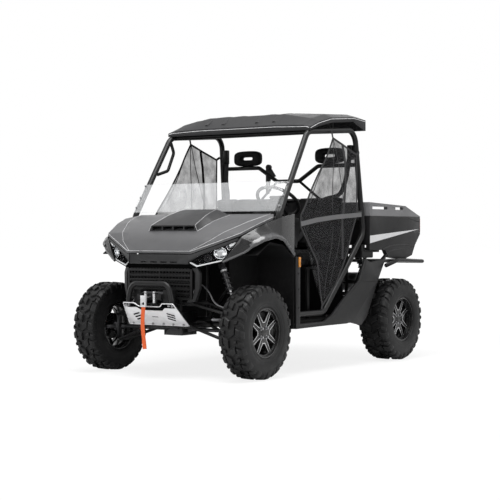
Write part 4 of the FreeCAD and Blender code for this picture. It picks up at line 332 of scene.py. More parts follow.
@dataclass(frozen=True)
class Rubber:
    """Tyre rubber, matt and dusty between the lugs."""

    name: str
    colour: tuple = (0.0040, 0.0040, 0.0042)

    def material(self) -> Material:
        """Build the finish's nodes.

        Returns:
            The material.
        """
        graph = Graph(self.name)
        cloudy = graph.cloud(0.05, 5.0)
        fine = graph.cloud(0.003, 3.0)
        dusty = graph.step(graph.cloud(0.02, 6.0), 0.5, 0.72) * 0.35
        tone = graph.mix(graph.step(cloudy, 0.3, 0.7), toned(self.colour, 0.75),
                         toned(self.colour, 1.35))
        graph.shade(Base_Color=graph.mix(dusty, tone, toned(self.colour, 2.6)),
                    Roughness=graph.step(cloudy, 0.3, 0.7, 0.40, 0.58), Specular_IOR_Level=0.22,
                    Normal=graph.bump(fine, 0.0004))
        return graph.material


@dataclass(frozen=True)
class Metal:
    """Bare or machined metal with fine brushing along one axis."""

    name: str
    colour: tuple
    rough: float = 0.3
    stretch: tuple = (500.0, 18.0, 500.0)
    metallic: float = 1.0

    def material(self) -> Material:
        """Build the finish's nodes.

        Returns:
            The material.
        """
        graph = Graph(self.name)
        brushed = graph.streaks(self.stretch, 3.0)
        stain = graph.step(graph.cloud(0.04, 4.0), 0.5, 0.75)
        graph.shade(Base_Color=graph.mix(stain * 0.5, self.colour, toned(self.colour, 0.72)),
                    Metallic=self.metallic,
                    Roughness=graph.step(brushed, 0.3, 0.7, self.rough - 0.06, self.rough + 0.08),
                    Normal=graph.bump(brushed, 0.00008))
        return graph.material


@dataclass(frozen=True)
class Clear:
    """Thin clear panel, hazed by fine dust and clearer past a place along X."""

    name: str
    colour: tuple = (0.86, 0.88, 0.89)
    cover: float = 0.22
    rough: float = 0.06
    clear_from: float = 9.0

    def material(self) -> Material:
        """Build the finish's nodes.

        Returns:
            The material.
        """
        graph = Graph(self.name)
        haze = graph.step(graph.cloud(0.12, 5.0), 0.4, 0.8) * (self.cover * 0.25)
        fading = graph.step(graph.axes()[0], self.clear_from, self.clear_from + 0.01, 1.0, 0.3)
        graph.shade(Base_Color=self.colour, Roughness=self.rough,
                    Alpha=(haze + self.cover) * fading)
        return graph.material


@dataclass(frozen=True)
class Glow:
    """A lit strip or lens."""

    name: str
    colour: tuple
    strength: float = 1.0
    rough: float = 0.2

    def material(self) -> Material:
        """Build the finish's nodes.

        Returns:
            The material.
        """
        graph = Graph(self.name)
        bands = graph.step(graph.cloud(0.02, 2.0), 0.3, 0.7, 0.85, 1.0)
        tone = graph.mix(bands, toned(self.colour, 0.8), self.colour)
        graph.shade(Base_Color=tone, Roughness=self.rough, Coat_Weight=0.5,
                    Emission_Color=tone, Emission_Strength=self.strength)
        return graph.material


@dataclass(frozen=True)
class Webbing:
    """Woven strap with ribs across it and loose fibres."""

    name: str
    colour: tuple
    pitch: float = 0.0028
    rough: float = 0.8

    def material(self) -> Material:
        """Build the finish's nodes.

        Returns:
            The material.
        """
        graph = Graph(self.name)
        x, y, z = graph.axes()
        turn = math.tau / self.pitch
        ribs = ((z + y * 0.6) * turn).wave()
        cross = ((x + y) * turn * 0.8).wave()
        fibre = graph.cloud(0.004, 4.0)
        shade = graph.step(ribs * 0.6 + fibre * 0.6, 0.2, 0.9)
        graph.shade(Base_Color=graph.mix(shade, toned(self.colour, 0.7), self.colour),
                    Roughness=self.rough, Normal=graph.bump(ribs.highest(cross), 0.0004))
        return graph.material


@dataclass(frozen=True)
class NetCloth:
    """Fine open mesh fabric, with holes let through by its alpha."""

    name: str
    colour: tuple = (0.024, 0.024, 0.025)
    pitch: float = 0.0030
    cover: float = 0.31

    def material(self) -> Material:
        """Build the finish's nodes.

        Returns:
            The material.
        """
        graph = Graph(self.name)
        _, y, z = graph.axes()
        turn = math.tau / self.pitch
        warp = ((y + z) * turn).wave()
        weft = ((y - z) * turn).wave()
        threads = graph.step(warp.highest(weft), 0.45, 0.90)
        folds = graph.step(graph.cloud(0.10, 2.0), 0.35, 0.7, -0.08, 0.14)
        tone = graph.mix(graph.step(graph.cloud(0.02), 0.3, 0.7),
                         toned(self.colour, 0.8), toned(self.colour, 1.3))
        graph.shade(Base_Color=tone, Roughness=0.85, Specular_IOR_Level=0.1,
                    Alpha=threads * ((1 - self.cover) * 0.22) + self.cover + folds,
                    Normal=graph.bump(warp.highest(weft), 0.0001))
        return graph.material


@dataclass(frozen=True)
class SeatHide:
    """Grained seat cover with creases."""

    name: str
    colour: tuple = (0.0045, 0.0045, 0.0048)
    grain: float = 0.0035

    def material(self) -> Material:
        """Build the finish's nodes.

        Returns:
            The material.
        """
        graph = Graph(self.name)
        cells = graph.add("ShaderNodeTexVoronoi", {"feature": "DISTANCE_TO_EDGE"}, {
            "Vector": graph.place(), "Scale": 1 / self.grain}, "Distance")
        creases = graph.step(graph.cloud(0.08, 6.0, 0.7), 0.45, 0.6)
        tone = graph.mix(creases, self.colour, toned(self.colour, 1.5))
        graph.shade(Base_Color=tone, Roughness=graph.step(creases, 0, 1, 0.5, 0.62),
                    Specular_IOR_Level=0.12,
                    Normal=graph.bump(graph.step(cells, 0.0, 0.25) + creases * 0.6, 0.0005))
        return graph.material


class Finish(Enum):
    """Every finish on the vehicle."""

    HOOD = Moulded("hood_grey", (0.070, 0.070, 0.0725), 0.38, grain=0.0006,
                   grain_depth=0.00005, mottle=0.05, dust=0.08, gleam=0.3)
    SCOOP = Moulded("scoop_grey", (0.017, 0.017, 0.018), 0.42, grain=0.0010,
                    grain_depth=0.00008, mottle=0.05, dust=0.04, gleam=0.25)
    # A light tone for fine lines along edges and creases: painted highlights.
    CREASE = Moulded("crease_highlight", (0.55, 0.55, 0.56), 0.30, 0.4, grain=0.001,
                     grain_depth=0.00001, mottle=0.03, dust=0.05)
    BODY = Moulded("body_grey", (0.009, 0.009, 0.0094), 0.38, grain=0.0012,
                   grain_depth=0.00007, mottle=0.08, dust=0.04, gleam=0.2)
    FENDER = Moulded("fender_grey", (0.011, 0.011, 0.0114), 0.26, grain=0.0012,
                     grain_depth=0.00004, mottle=0.08, dust=0.03, coat=0.2, gleam=0.32)
    # Lighter than the fender finish, for the flares' lips and crowns: a painted highlight.
    CROWN = Moulded("flare_highlight", (0.050, 0.050, 0.052), 0.26, grain=0.0012,
                    grain_depth=0.00004, mottle=0.08, dust=0.03, coat=0.2)
    FASCIA = Moulded("fascia_grey", (0.022, 0.022, 0.023), 0.45, grain=0.0014,
                     grain_depth=0.0001, mottle=0.08, dust=0.04, gleam=0.25)
    ROOF = Moulded("roof_grey", (0.020, 0.020, 0.021), 0.48, grain=0.0012,
                   grain_depth=0.0001, mottle=0.06, dust=0.03, gleam=0.14)
    BED = BedPlastic("bed_grey", (0.011, 0.011, 0.0115), 0.42, grain=0.0012,
                     grain_depth=0.0001, mottle=0.08, dust=0.06, gleam=0.25)
    BLACK_PLASTIC = Moulded("soft_black", (0.005, 0.005, 0.0053), 0.5, dust=0.05, gleam=0.2)
    LINER = Moulded("liner_black", (0.0045, 0.0045, 0.0047), 0.7, dust=0.06, mottle=0.2,
                    gleam=0.1)
    SHADOW = Moulded("hollow_black", (0.002, 0.002, 0.002), 0.9, dust=0.0, gleam=0.05)
    CAGE = Moulded("cage_black", (0.006, 0.006, 0.0063), 0.34, grain=0.001,
                   grain_depth=0.00008, mottle=0.1, dust=0.04, gleam=0.22)
    FRAME_PAINT = Moulded("frame_black", (0.005, 0.005, 0.0053), 0.45, grain=0.001,
                          grain_depth=0.0001, mottle=0.2, dust=0.08, gleam=0.25)
    RIM = Moulded("gloss_black", (0.006, 0.006, 0.0063), 0.25, grain=0.001,
                  grain_depth=0.00003, mottle=0.1, dust=0.06, coat=0.1, gleam=0.4)
    TYRE = Rubber("tyre_rubber")
    # Darker rubber for the carcass in the tread's gaps: painted shade between the lugs.
    GROOVE_SHADE = Rubber("tyre_groove_shade", (0.0028, 0.0028, 0.003))
    SILVER = Metal("skid_silver", (0.60, 0.60, 0.61), 0.36, metallic=0.5)
    MACHINED = Metal("machined_edge", (0.62, 0.62, 0.63), 0.28, metallic=0.6)
    STEEL = Metal("bare_steel", (0.34, 0.34, 0.35), 0.35)
    CAST = Metal("cast_metal", (0.045, 0.045, 0.047), 0.5, (90.0, 90.0, 90.0))
    HOSE = Moulded("hose_grey", (0.16, 0.16, 0.165), 0.4, 0.3, dust=0.1)
    SPRING = Moulded("spring_paint", (0.028, 0.028, 0.03), 0.28, 0.3, dust=0.1)
    SCREEN = Clear("screen_clear", (0.72, 0.73, 0.74), 0.20, 0.06, 0.652)
    LENS = Clear("clear_lens", (0.20, 0.20, 0.21), 0.012, 0.03)
    REFLECTOR = Metal("reflector", (0.50, 0.51, 0.52), 0.16, (60.0, 60.0, 60.0))
    DAY_STRIP = Glow("day_light", (0.62, 0.63, 0.64), 0.05)
    AMBER = Glow("amber_lens", (0.52, 0.19, 0.010), 0.04)
    RED = Glow("red_lens", (0.50, 0.015, 0.015), 0.08)
    NET = NetCloth("net_mesh")
    HEM = Webbing("hem_webbing", (0.012, 0.012, 0.013))
    BAND = Webbing("band_webbing", (0.13, 0.13, 0.133))
    STRAP = Webbing("orange_webbing", (0.72, 0.115, 0.022), 0.003)
    SEAT = SeatHide("seat_hide")
    STRIPE = Moulded("stripe_silver", (0.64, 0.64, 0.65), 0.35, 0.2, grain=0.001,
                     grain_depth=0.00002, mottle=0.03, dust=0.05)

    def made(self) -> Material:
        """The finish's material, built once."""
        found = bpy.data.materials.get(self.value.name)
        return found or self.value.material()


class Form:
    """Meshes built in code, all in the vehicle's frame."""

    @staticmethod
    def mesh(name: str, points: list, faces: list) -> Mesh:
        """A mesh from points and faces, merged and turned outwards.

        Args:
            name: the mesh's name.
            points: its corners.
            faces: rows of corner numbers.

        Returns:
            The mesh.
        """
        made = bpy.data.meshes.new(name)
        made.from_pydata([tuple(p) for p in points], [], faces)
        return Form.tidy(made)

    @staticmethod
    def tidy(mesh: Mesh) -> Mesh:
        """Merge doubles and turn faces outwards.

        Args:
            mesh: it is changed in place.

        Returns:
            The same mesh.
        """
        work = bmesh.new()
        work.from_mesh(mesh)
        bmesh.ops.remove_doubles(work, verts=work.verts, dist=MERGE_REACH)
        bmesh.ops.recalc_face_normals(work, faces=work.faces)
        work.to_mesh(mesh)
        work.free()
        return mesh

    @staticmethod
    def done(work: bmesh.types.BMesh, name: str) -> Mesh:
        """A named mesh from a working one, which is then freed.

        Args:
            work: the working mesh.
            name: the mesh's name.

        Returns:
            The new mesh.
        """
        made = bpy.data.meshes.new(name)
        work.to_mesh(made)
        work.free()
        return made

    @staticmethod
    def soften(work: bmesh.types.BMesh, width: float, **settings: bool) -> None:
        """Bevel every edge of a working mesh, unless the width is nought.

        Args:
            work: the working mesh.
            width: of the bevel.
            settings: further ones for it.
        """
        if width:
            bmesh.ops.bevel(work, geom=work.edges[:], offset=width, segments=2, affect="EDGES",
                            profile=0.6, **settings)

    @staticmethod
    def join(name: str, meshes: list) -> Mesh:
        """One mesh from several.

        Args:
            name: the mesh's name.
            meshes: the parts.

        Returns:
            One mesh.
        """
        work = bmesh.new()
        for mesh in meshes:
            work.from_mesh(mesh)
        return Form.done(work, name)

    @staticmethod
    def belts(rings: int, sides: int, closed: bool = False) -> list:
        """Faces between rings of points, and from the last to the first where closed.

        Args:
            rings: how many.
            sides: points in a ring.
            closed: whether the last meets the first.

        Returns:
            Rows of point numbers.
        """
        faces = []
        for row in range(rings if closed else rings - 1):
            near, far = row * sides, (row + 1) % rings * sides
            for step in range(sides):
                after = (step + 1) % sides
                faces.append((near + step, near + after, far + after, far + step))
        return faces

    @staticmethod
    def mirrored(mesh: Mesh) -> Mesh:
        """The mesh's mirror image across the middle plane.

        Args:
            mesh: it is left as it is.

        Returns:
            A new mesh.
        """
        copy = mesh.copy()
        copy.transform(Matrix.Diagonal((-1, 1, 1, 1)))
        return Form.tidy(copy)

    @staticmethod
    def both(name: str, mesh: Mesh) -> Mesh:
        """The mesh with its mirror image."""
        return Form.join(name, [mesh, Form.mirrored(mesh)])

    @staticmethod
    def slab(name: str, corner: Vector, opposite: Vector, soft: float = 0.002) -> Mesh:
        """A block between two corners with softened edges.

        Args:
            name: the mesh's name.
            corner: one corner.
            opposite: the other.
            soft: width of the bevel.

        Returns:
            The block.
        """
        low = Vector(map(min, corner, opposite))
        high = Vector(map(max, corner, opposite))
        work = bmesh.new()
        bmesh.ops.create_cube(work, size=1.0)
        for vert in work.verts:
            vert.co = Vector((low[i] + (vert.co[i] + 0.5) * (high[i] - low[i]) for i in range(3)))
        Form.soften(work, soft)
        return Form.done(work, name)

    @staticmethod
    def plate(name: str, outline: list, depth: Vector, soft: float = 0.0) -> Mesh:
        """Extrude a flat outline of points by a vector.

        Args:
            name: the mesh's name.
            outline: its corners in order.
            depth: the vector.
            soft: width of the bevel.

        Returns:
            The plate.
        """
        work = bmesh.new()
        face = work.faces.new([work.verts.new(p) for p in outline])
        grown = bmesh.ops.extrude_face_region(work, geom=[face])
        bmesh.ops.translate(work, vec=depth,
                            verts=[v for v in grown["geom"] if isinstance(v, bmesh.types.BMVert)])
        bmesh.ops.recalc_face_normals(work, faces=work.faces)
        Form.soften(work, soft, clamp_overlap=True)
        return Form.done(work, name)

    @staticmethod
    def sweep(name: str, path: list, radius: float, sides: int = 14, flat: float = 1.0,
              up: Vector | None = None) -> Mesh:
        """A tube or flattened bar along a path.

        Args:
            name: the mesh's name.
            path: the points it follows.
            radius: half its width.
            sides: corners of its section.
            flat: its thickness as a share of its width.
            up: the direction that its thickness starts in, or none for a round tube.

        Returns:
            The closed mesh.
        """
        points = []
        normal = up or Vector((0.31, 0.17, 0.93))
        for index, place in enumerate(path):
            before = path[max(index - 1, 0)]
            after = path[min(index + 1, len(path) - 1)]
            along = (after - before).normalized()
            normal = (normal - along * normal.dot(along)).normalized()
            side = along.cross(normal)
            for step in range(sides):
                turn = math.tau * (step + 0.5) / sides
                points.append(place + side * (radius * math.cos(turn))
                              + normal * (radius * flat * math.sin(turn)))
        faces = Form.belts(len(path), sides)
        faces.append(tuple(range(sides))[::-1])
        faces.append(tuple(range((len(path) - 1) * sides, len(path) * sides)))
        return Form.mesh(name, points, faces)

    @staticmethod
    def strap(name: str, path: list, width: float, thick: float, facing: Vector) -> Mesh:
        """A flat band along a path, whose thickness is turned to a direction.

        Args:
            name: the mesh's name.
            path: points along its middle.
            width: across it.
            thick: through it.
            facing: the way its flat side looks.

        Returns:
            The closed mesh.
        """
        points = []
        for index, place in enumerate(path):
            along = (path[min(index + 1, len(path) - 1)] - path[max(index - 1, 0)]).normalized()
            out = (facing - along * facing.dot(along)).normalized()
            side = along.cross(out) * (width / 2)
            for across, up in ((-1, -1), (1, -1), (1, 1), (-1, 1)):
                points.append(place + side * across + out * (up * thick / 2))
        last = (len(path) - 1) * 4
        ends = [(3, 2, 1, 0), (last, last + 1, last + 2, last + 3)]
        return Form.mesh(name, points, Form.belts(len(path), 4) + ends)

    @staticmethod
    def lathe(name: str, profile: list, turns: int) -> Mesh:
        """Turn a closed profile of (distance, radius) pairs round the X axis.

        Args:
            name: the mesh's name.
            profile: the pairs.
            turns: steps round the axis.

        Returns:
            The closed mesh.
        """
        points = []
        for step in range(turns):
            angle = math.tau * step / turns
            points += [Vector((u, radius * math.sin(angle), radius * math.cos(angle)))
                       for u, radius in profile]
        return Form.mesh(name, points, Form.belts(turns, len(profile), True))

    @staticmethod
    def bent(path: list, reach: float, steps: int = 5) -> list:
        """A path with its inner corners rounded.

        Args:
            path: its points.
            reach: how far from a corner the bend starts.
            steps: stretches in a bend.

        Returns:
            The rounded path.
        """
        made = [path[0]]
        for before, corner, after in zip(path, path[1:], path[2:]):
            near = min(reach, 0.45 * (before - corner).length, 0.45 * (after - corner).length)
            start = corner + (before - corner).normalized() * near
            end = corner + (after - corner).normalized() * near
            for step in range(steps + 1):
                share = step / steps
                made.append(start.lerp(corner, share).lerp(corner.lerp(end, share), share))
        return made + [path[-1]]


class Shelf:
    """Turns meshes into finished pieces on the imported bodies."""

    @staticmethod
    def put(name: str, mesh: Mesh, finish: Finish, slot: str, stands_for: tuple = (),
            sharp: float = 32.0, body: str = "chassis") -> Object:
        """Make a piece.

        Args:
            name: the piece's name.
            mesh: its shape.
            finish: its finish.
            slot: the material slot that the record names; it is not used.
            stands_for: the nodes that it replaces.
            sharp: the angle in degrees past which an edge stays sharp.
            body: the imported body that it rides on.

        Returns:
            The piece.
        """
        mesh.name = name
        piece = placed(name, mesh)
        mesh.materials.clear()
        mesh.materials.append(finish.made())
        mesh.shade_smooth()
        mesh.set_sharp_from_angle(angle=math.radians(sharp))
        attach(piece, body)
        if stands_for:
            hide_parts(*stands_for)
        log.info("%s rides on %s", name, body)
        return piece

    @staticmethod
    def paint(piece: Object, finish: Finish, inside: Callable[[Vector, Vector], bool]) -> None:
        """Give a second finish to the faces whose centre passes a test.

        Args:
            piece: the piece.
            finish: the second finish.
            inside: a test that takes a face's centre and its normal.
        """
        piece.data.materials.append(finish.made())
        number = len(piece.data.materials) - 1
        for face in piece.data.polygons:
            if inside(face.center, face.normal):
                face.material_index = number

    @staticmethod
    def settled(piece: Object) -> Mesh:
        """The piece's mesh with its modifiers applied.

        Args:
            piece: it is left as it is.

        Returns:
            A new mesh.
        """
        bpy.context.view_layer.update()
        graph = bpy.context.evaluated_depsgraph_get()
        return bpy.data.meshes.new_from_object(piece.evaluated_get(graph))

    @staticmethod
    def through(mesh: Mesh, *modifiers: tuple) -> Mesh:
        """The mesh after some modifiers, each a type and its settings.

        Args:
            mesh: it is left as it is.
            modifiers: in their order.

        Returns:
            A new mesh.
        """
        piece = placed("scratch", mesh)
        for kind, settings in modifiers:
            modifier = piece.modifiers.new(kind.lower(), kind)
            for name, value in settings.items():
                setattr(modifier, name, value)
        made = Shelf.settled(piece)
        bpy.data.objects.remove(piece)
        return made

    @staticmethod
    def solid(node: str, soft: float, fold: float) -> Mesh:
        """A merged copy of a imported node's mesh, its edges softened where asked.

        Args:
            node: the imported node.
            soft: width of the bevel in metres, or nought for none.
            fold: how far the shallow folds of its skin are rounded, in metres.

        Returns:
            The copy.
        """
        mesh = frame["nodes"][node].data.copy()
        work = bmesh.new()
        work.from_mesh(mesh)
        bmesh.ops.remove_doubles(work, verts=work.verts, dist=WELD_REACH)
        if soft:
            bmesh.ops.dissolve_limit(work, angle_limit=FLAT_ANGLE, verts=work.verts,
                                     edges=work.edges)
        if fold:
            least, most = FOLD_ANGLES
            shallow = [edge for edge in work.edges if len(edge.link_faces) == 2
                       and least < edge.calc_face_angle(0.0) < most
                       and edge.calc_length() > SHORTEST_FOLD]
            bmesh.ops.bevel(work, geom=shallow, offset=fold, segments=4, affect="EDGES",
                            profile=0.5, clamp_overlap=True)
        work.to_mesh(mesh)
        work.free()
        if soft:
            mesh = Shelf.through(mesh, ("BEVEL", {
                "width": soft, "segments": 2, "limit_method": "ANGLE",
                "angle_limit": SOFT_ANGLE, "harden_normals": False}))
        return mesh

    @staticmethod
    def dress(node: str, name: str, finish: Finish, slot: str, soft: float = 0.0,
              sharp: float = 32.0, fold: float = 0.0) -> Object:
        """Put a merged, softened copy of a node in its place.

        Args:
            node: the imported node.
            name: the piece's name.
            finish: its finish.
            slot: its material slot.
            soft: width of the bevel.
            sharp: the angle past which an edge stays sharp.
            fold: how far shallow folds are rounded.

        Returns:
            The piece.
        """
        body = frame["nodes"][node]["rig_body"]
        mesh = Shelf.solid(node, soft, fold)
        return Shelf.put(name, mesh, finish, slot, (node,), sharp, body)


class Repeat:
    """Geometry node trees for what repeats."""

    def __init__(self, name: str, inputs: dict) -> None:
        """Open a tree with its inputs.

        Args:
            name: the tree's name.
            inputs: its named sizes with their values.
        """
        self.tree = bpy.data.node_groups.new(name, "GeometryNodeTree")
        face = self.tree.interface
        self.given_values = []
        face.new_socket("Geometry", in_out="INPUT", socket_type="NodeSocketGeometry")
        for label, value in inputs.items():
            kind = "NodeSocketInt" if isinstance(value, int) else "NodeSocketFloat"
            socket = face.new_socket(label, in_out="INPUT", socket_type=kind)
            socket.default_value = value
            self.given_values.append((socket.identifier, value))
        face.new_socket("Geometry", in_out="OUTPUT", socket_type="NodeSocketGeometry")
        self.start = self.tree.nodes.new("NodeGroupInput")
        self.end = self.tree.nodes.new("NodeGroupOutput")

    def add(self, kind: str, settings: dict | None = None,
            **inputs: NodeSocket | Material | float | str | tuple) -> Node:
        """Add a node with its settings and inputs, and give it back.

        Args:
            kind: the node's type.
            settings: properties that are set first.
            inputs: values or sockets by name.

        Returns:
            The node.
        """
        node = self.tree.nodes.new(kind)
        for name, value in (settings or {}).items():
            setattr(node, name, value)
        for name, value in inputs.items():
            self.set(node.inputs[name.replace("_", " ")], value)
        return node

    def set(self, socket: NodeSocket,
            value: NodeSocket | Material | float | str | tuple) -> None:
        """Link a socket, or give it a plain value.

        Args:
            socket: an input of a node.
            value: what it takes.
        """
        if isinstance(value, NodeSocket):
            self.tree.links.new(value, socket)
        else:
            socket.default_value = value

    def maths(self, operation: str, first: NodeSocket | float,
              second: NodeSocket | float) -> NodeSocket:
        """Add one Math node and give back its result.

        Args:
            operation: its kind.
            first: one operand.
            second: the other.

        Returns:
            Its output.
        """
        node = self.add("ShaderNodeMath", {"operation": operation})
        self.set(node.inputs[0], first)
        self.set(node.inputs[1], second)
        return node.outputs[0]

    def given(self, label: str) -> NodeSocket:
        """A named input of the tree."""
        return self.start.outputs[label]

    def run(self, mesh: Mesh, instances: NodeSocket, finish: Finish) -> Mesh:
        """Realize instances, set their material and return the plain mesh.

        Args:
            mesh: what the tree starts from.
            instances: the output to realize.
            finish: its finish.

        Returns:
            The plain mesh.
        """
        real = self.add("GeometryNodeRealizeInstances", Geometry=instances)
        painted = self.add("GeometryNodeSetMaterial", Geometry=real.outputs[0],
                           Material=finish.made())
        self.tree.links.new(painted.outputs[0], self.end.inputs[0])
        piece = placed("scratch", mesh)
        modifier = piece.modifiers.new("repeat", "NODES")
        modifier.node_group = self.tree
        for identifier, value in self.given_values:
            modifier[identifier] = value
        made = Shelf.settled(piece)
        bpy.data.objects.remove(piece)
        return made


def upright(way: Vector) -> Matrix:
    """The turn that takes the Z axis to a direction."""
    return Vector((0, 0, 1)).rotation_difference(way).to_matrix().to_4x4()


def around_axle(mesh: Mesh, count: int, finish: Finish) -> Mesh:
    """Repeat a mesh evenly round an axis along X through the origin.

    Args:
        mesh: what repeats.
        count: how many times.
        finish: its finish.

    Returns:
        The whole ring.
    """
    tree = Repeat("ring_of_copies", {"Count": count})
    points = tree.add("GeometryNodePoints", Count=tree.given("Count"))
    index = tree.add("GeometryNodeInputIndex")
    step = tree.maths("DIVIDE", math.tau, tree.given("Count"))
    euler = tree.add("ShaderNodeCombineXYZ", X=tree.maths("MULTIPLY", index.outputs[0], step))
    rotation = tree.add("FunctionNodeEulerToRotation", Euler=euler.outputs[0])
    copies = tree.add("GeometryNodeInstanceOnPoints", Points=points.outputs[0],
                      Instance=tree.given("Geometry"), Rotation=rotation.outputs[0])
    return tree.run(mesh, copies.outputs[0], finish)


def fasteners(spots: list, radius: float, height: float, finish: Finish) -> Mesh:
    """Hexagon heads on washers.

    Args:
        spots: pairs of a place and the direction that its head faces.
        radius: of the head.
        height: of the head.
        finish: of head and washer.

    Returns:
        One mesh with all of them.
    """
    cloud = bpy.data.meshes.new("fastener_spots")
    cloud.from_pydata([tuple(place) for place, _ in spots], [], [])
    facing = cloud.attributes.new("facing", "FLOAT_VECTOR", "POINT")
    for index, (_, way) in enumerate(spots):
        facing.data[index].vector = way
    tree = Repeat("fasteners", {"Head radius": radius, "Head height": height,
                                "Washer radius": radius * 1.5, "Washer height": height * 0.3})
    head = tree.add("GeometryNodeMeshCylinder", Vertices=6, Radius=tree.given("Head radius"),
                    Depth=tree.given("Head height"))
    washer = tree.add("GeometryNodeMeshCylinder", Vertices=14, Radius=tree.given("Washer radius"),
                      Depth=tree.given("Washer height"))
    lift = tree.add("ShaderNodeCombineXYZ", Z=tree.given("Head height"))
    raised = tree.add("GeometryNodeTransform", Geometry=head.outputs[0],
                      Translation=lift.outputs[0])
    whole = tree.add("GeometryNodeJoinGeometry")
    for part in (washer, raised):
        tree.tree.links.new(part.outputs[0], whole.inputs[0])
    named = tree.add("GeometryNodeInputNamedAttribute", {"data_type": "FLOAT_VECTOR"},
                     Name="facing")
    turned = tree.add("FunctionNodeAlignRotationToVector", {"axis": "Z"}, Vector=named.outputs[0])
    copies = tree.add("GeometryNodeInstanceOnPoints", Points=tree.given("Geometry"),
                      Instance=whole.outputs[0], Rotation=turned.outputs[0])
    return tree.run(cloud, copies.outputs[0], finish)


def coil(radius: float, wire: float, turns: float, height: float, finish: Finish) -> Mesh:
    """A spring that stands on the origin along Z.

    Args:
        radius: of the turns.
        wire: radius of the wire.
        turns: how many.
        height: of them all.
        finish: its finish.

    Returns:
        The spring.
    """
    tree = Repeat("coil_spring", {"Coil radius": radius, "Wire radius": wire, "Turns": turns,
                                  "Height": height})
    line = tree.add("GeometryNodeCurveSpiral", Resolution=22, Rotations=tree.given("Turns"),
                    Height=tree.given("Height"), Start_Radius=tree.given("Coil radius"),
                    End_Radius=tree.given("Coil radius"))
    section = tree.add("GeometryNodeCurvePrimitiveCircle", Resolution=8,
                       Radius=tree.given("Wire radius"))
    skin = tree.add("GeometryNodeCurveToMesh", Curve=line.outputs[0],
                    Profile_Curve=section.outputs[0], Fill_Caps=True)
    return tree.run(bpy.data.meshes.new("empty"), skin.outputs[0], finish)


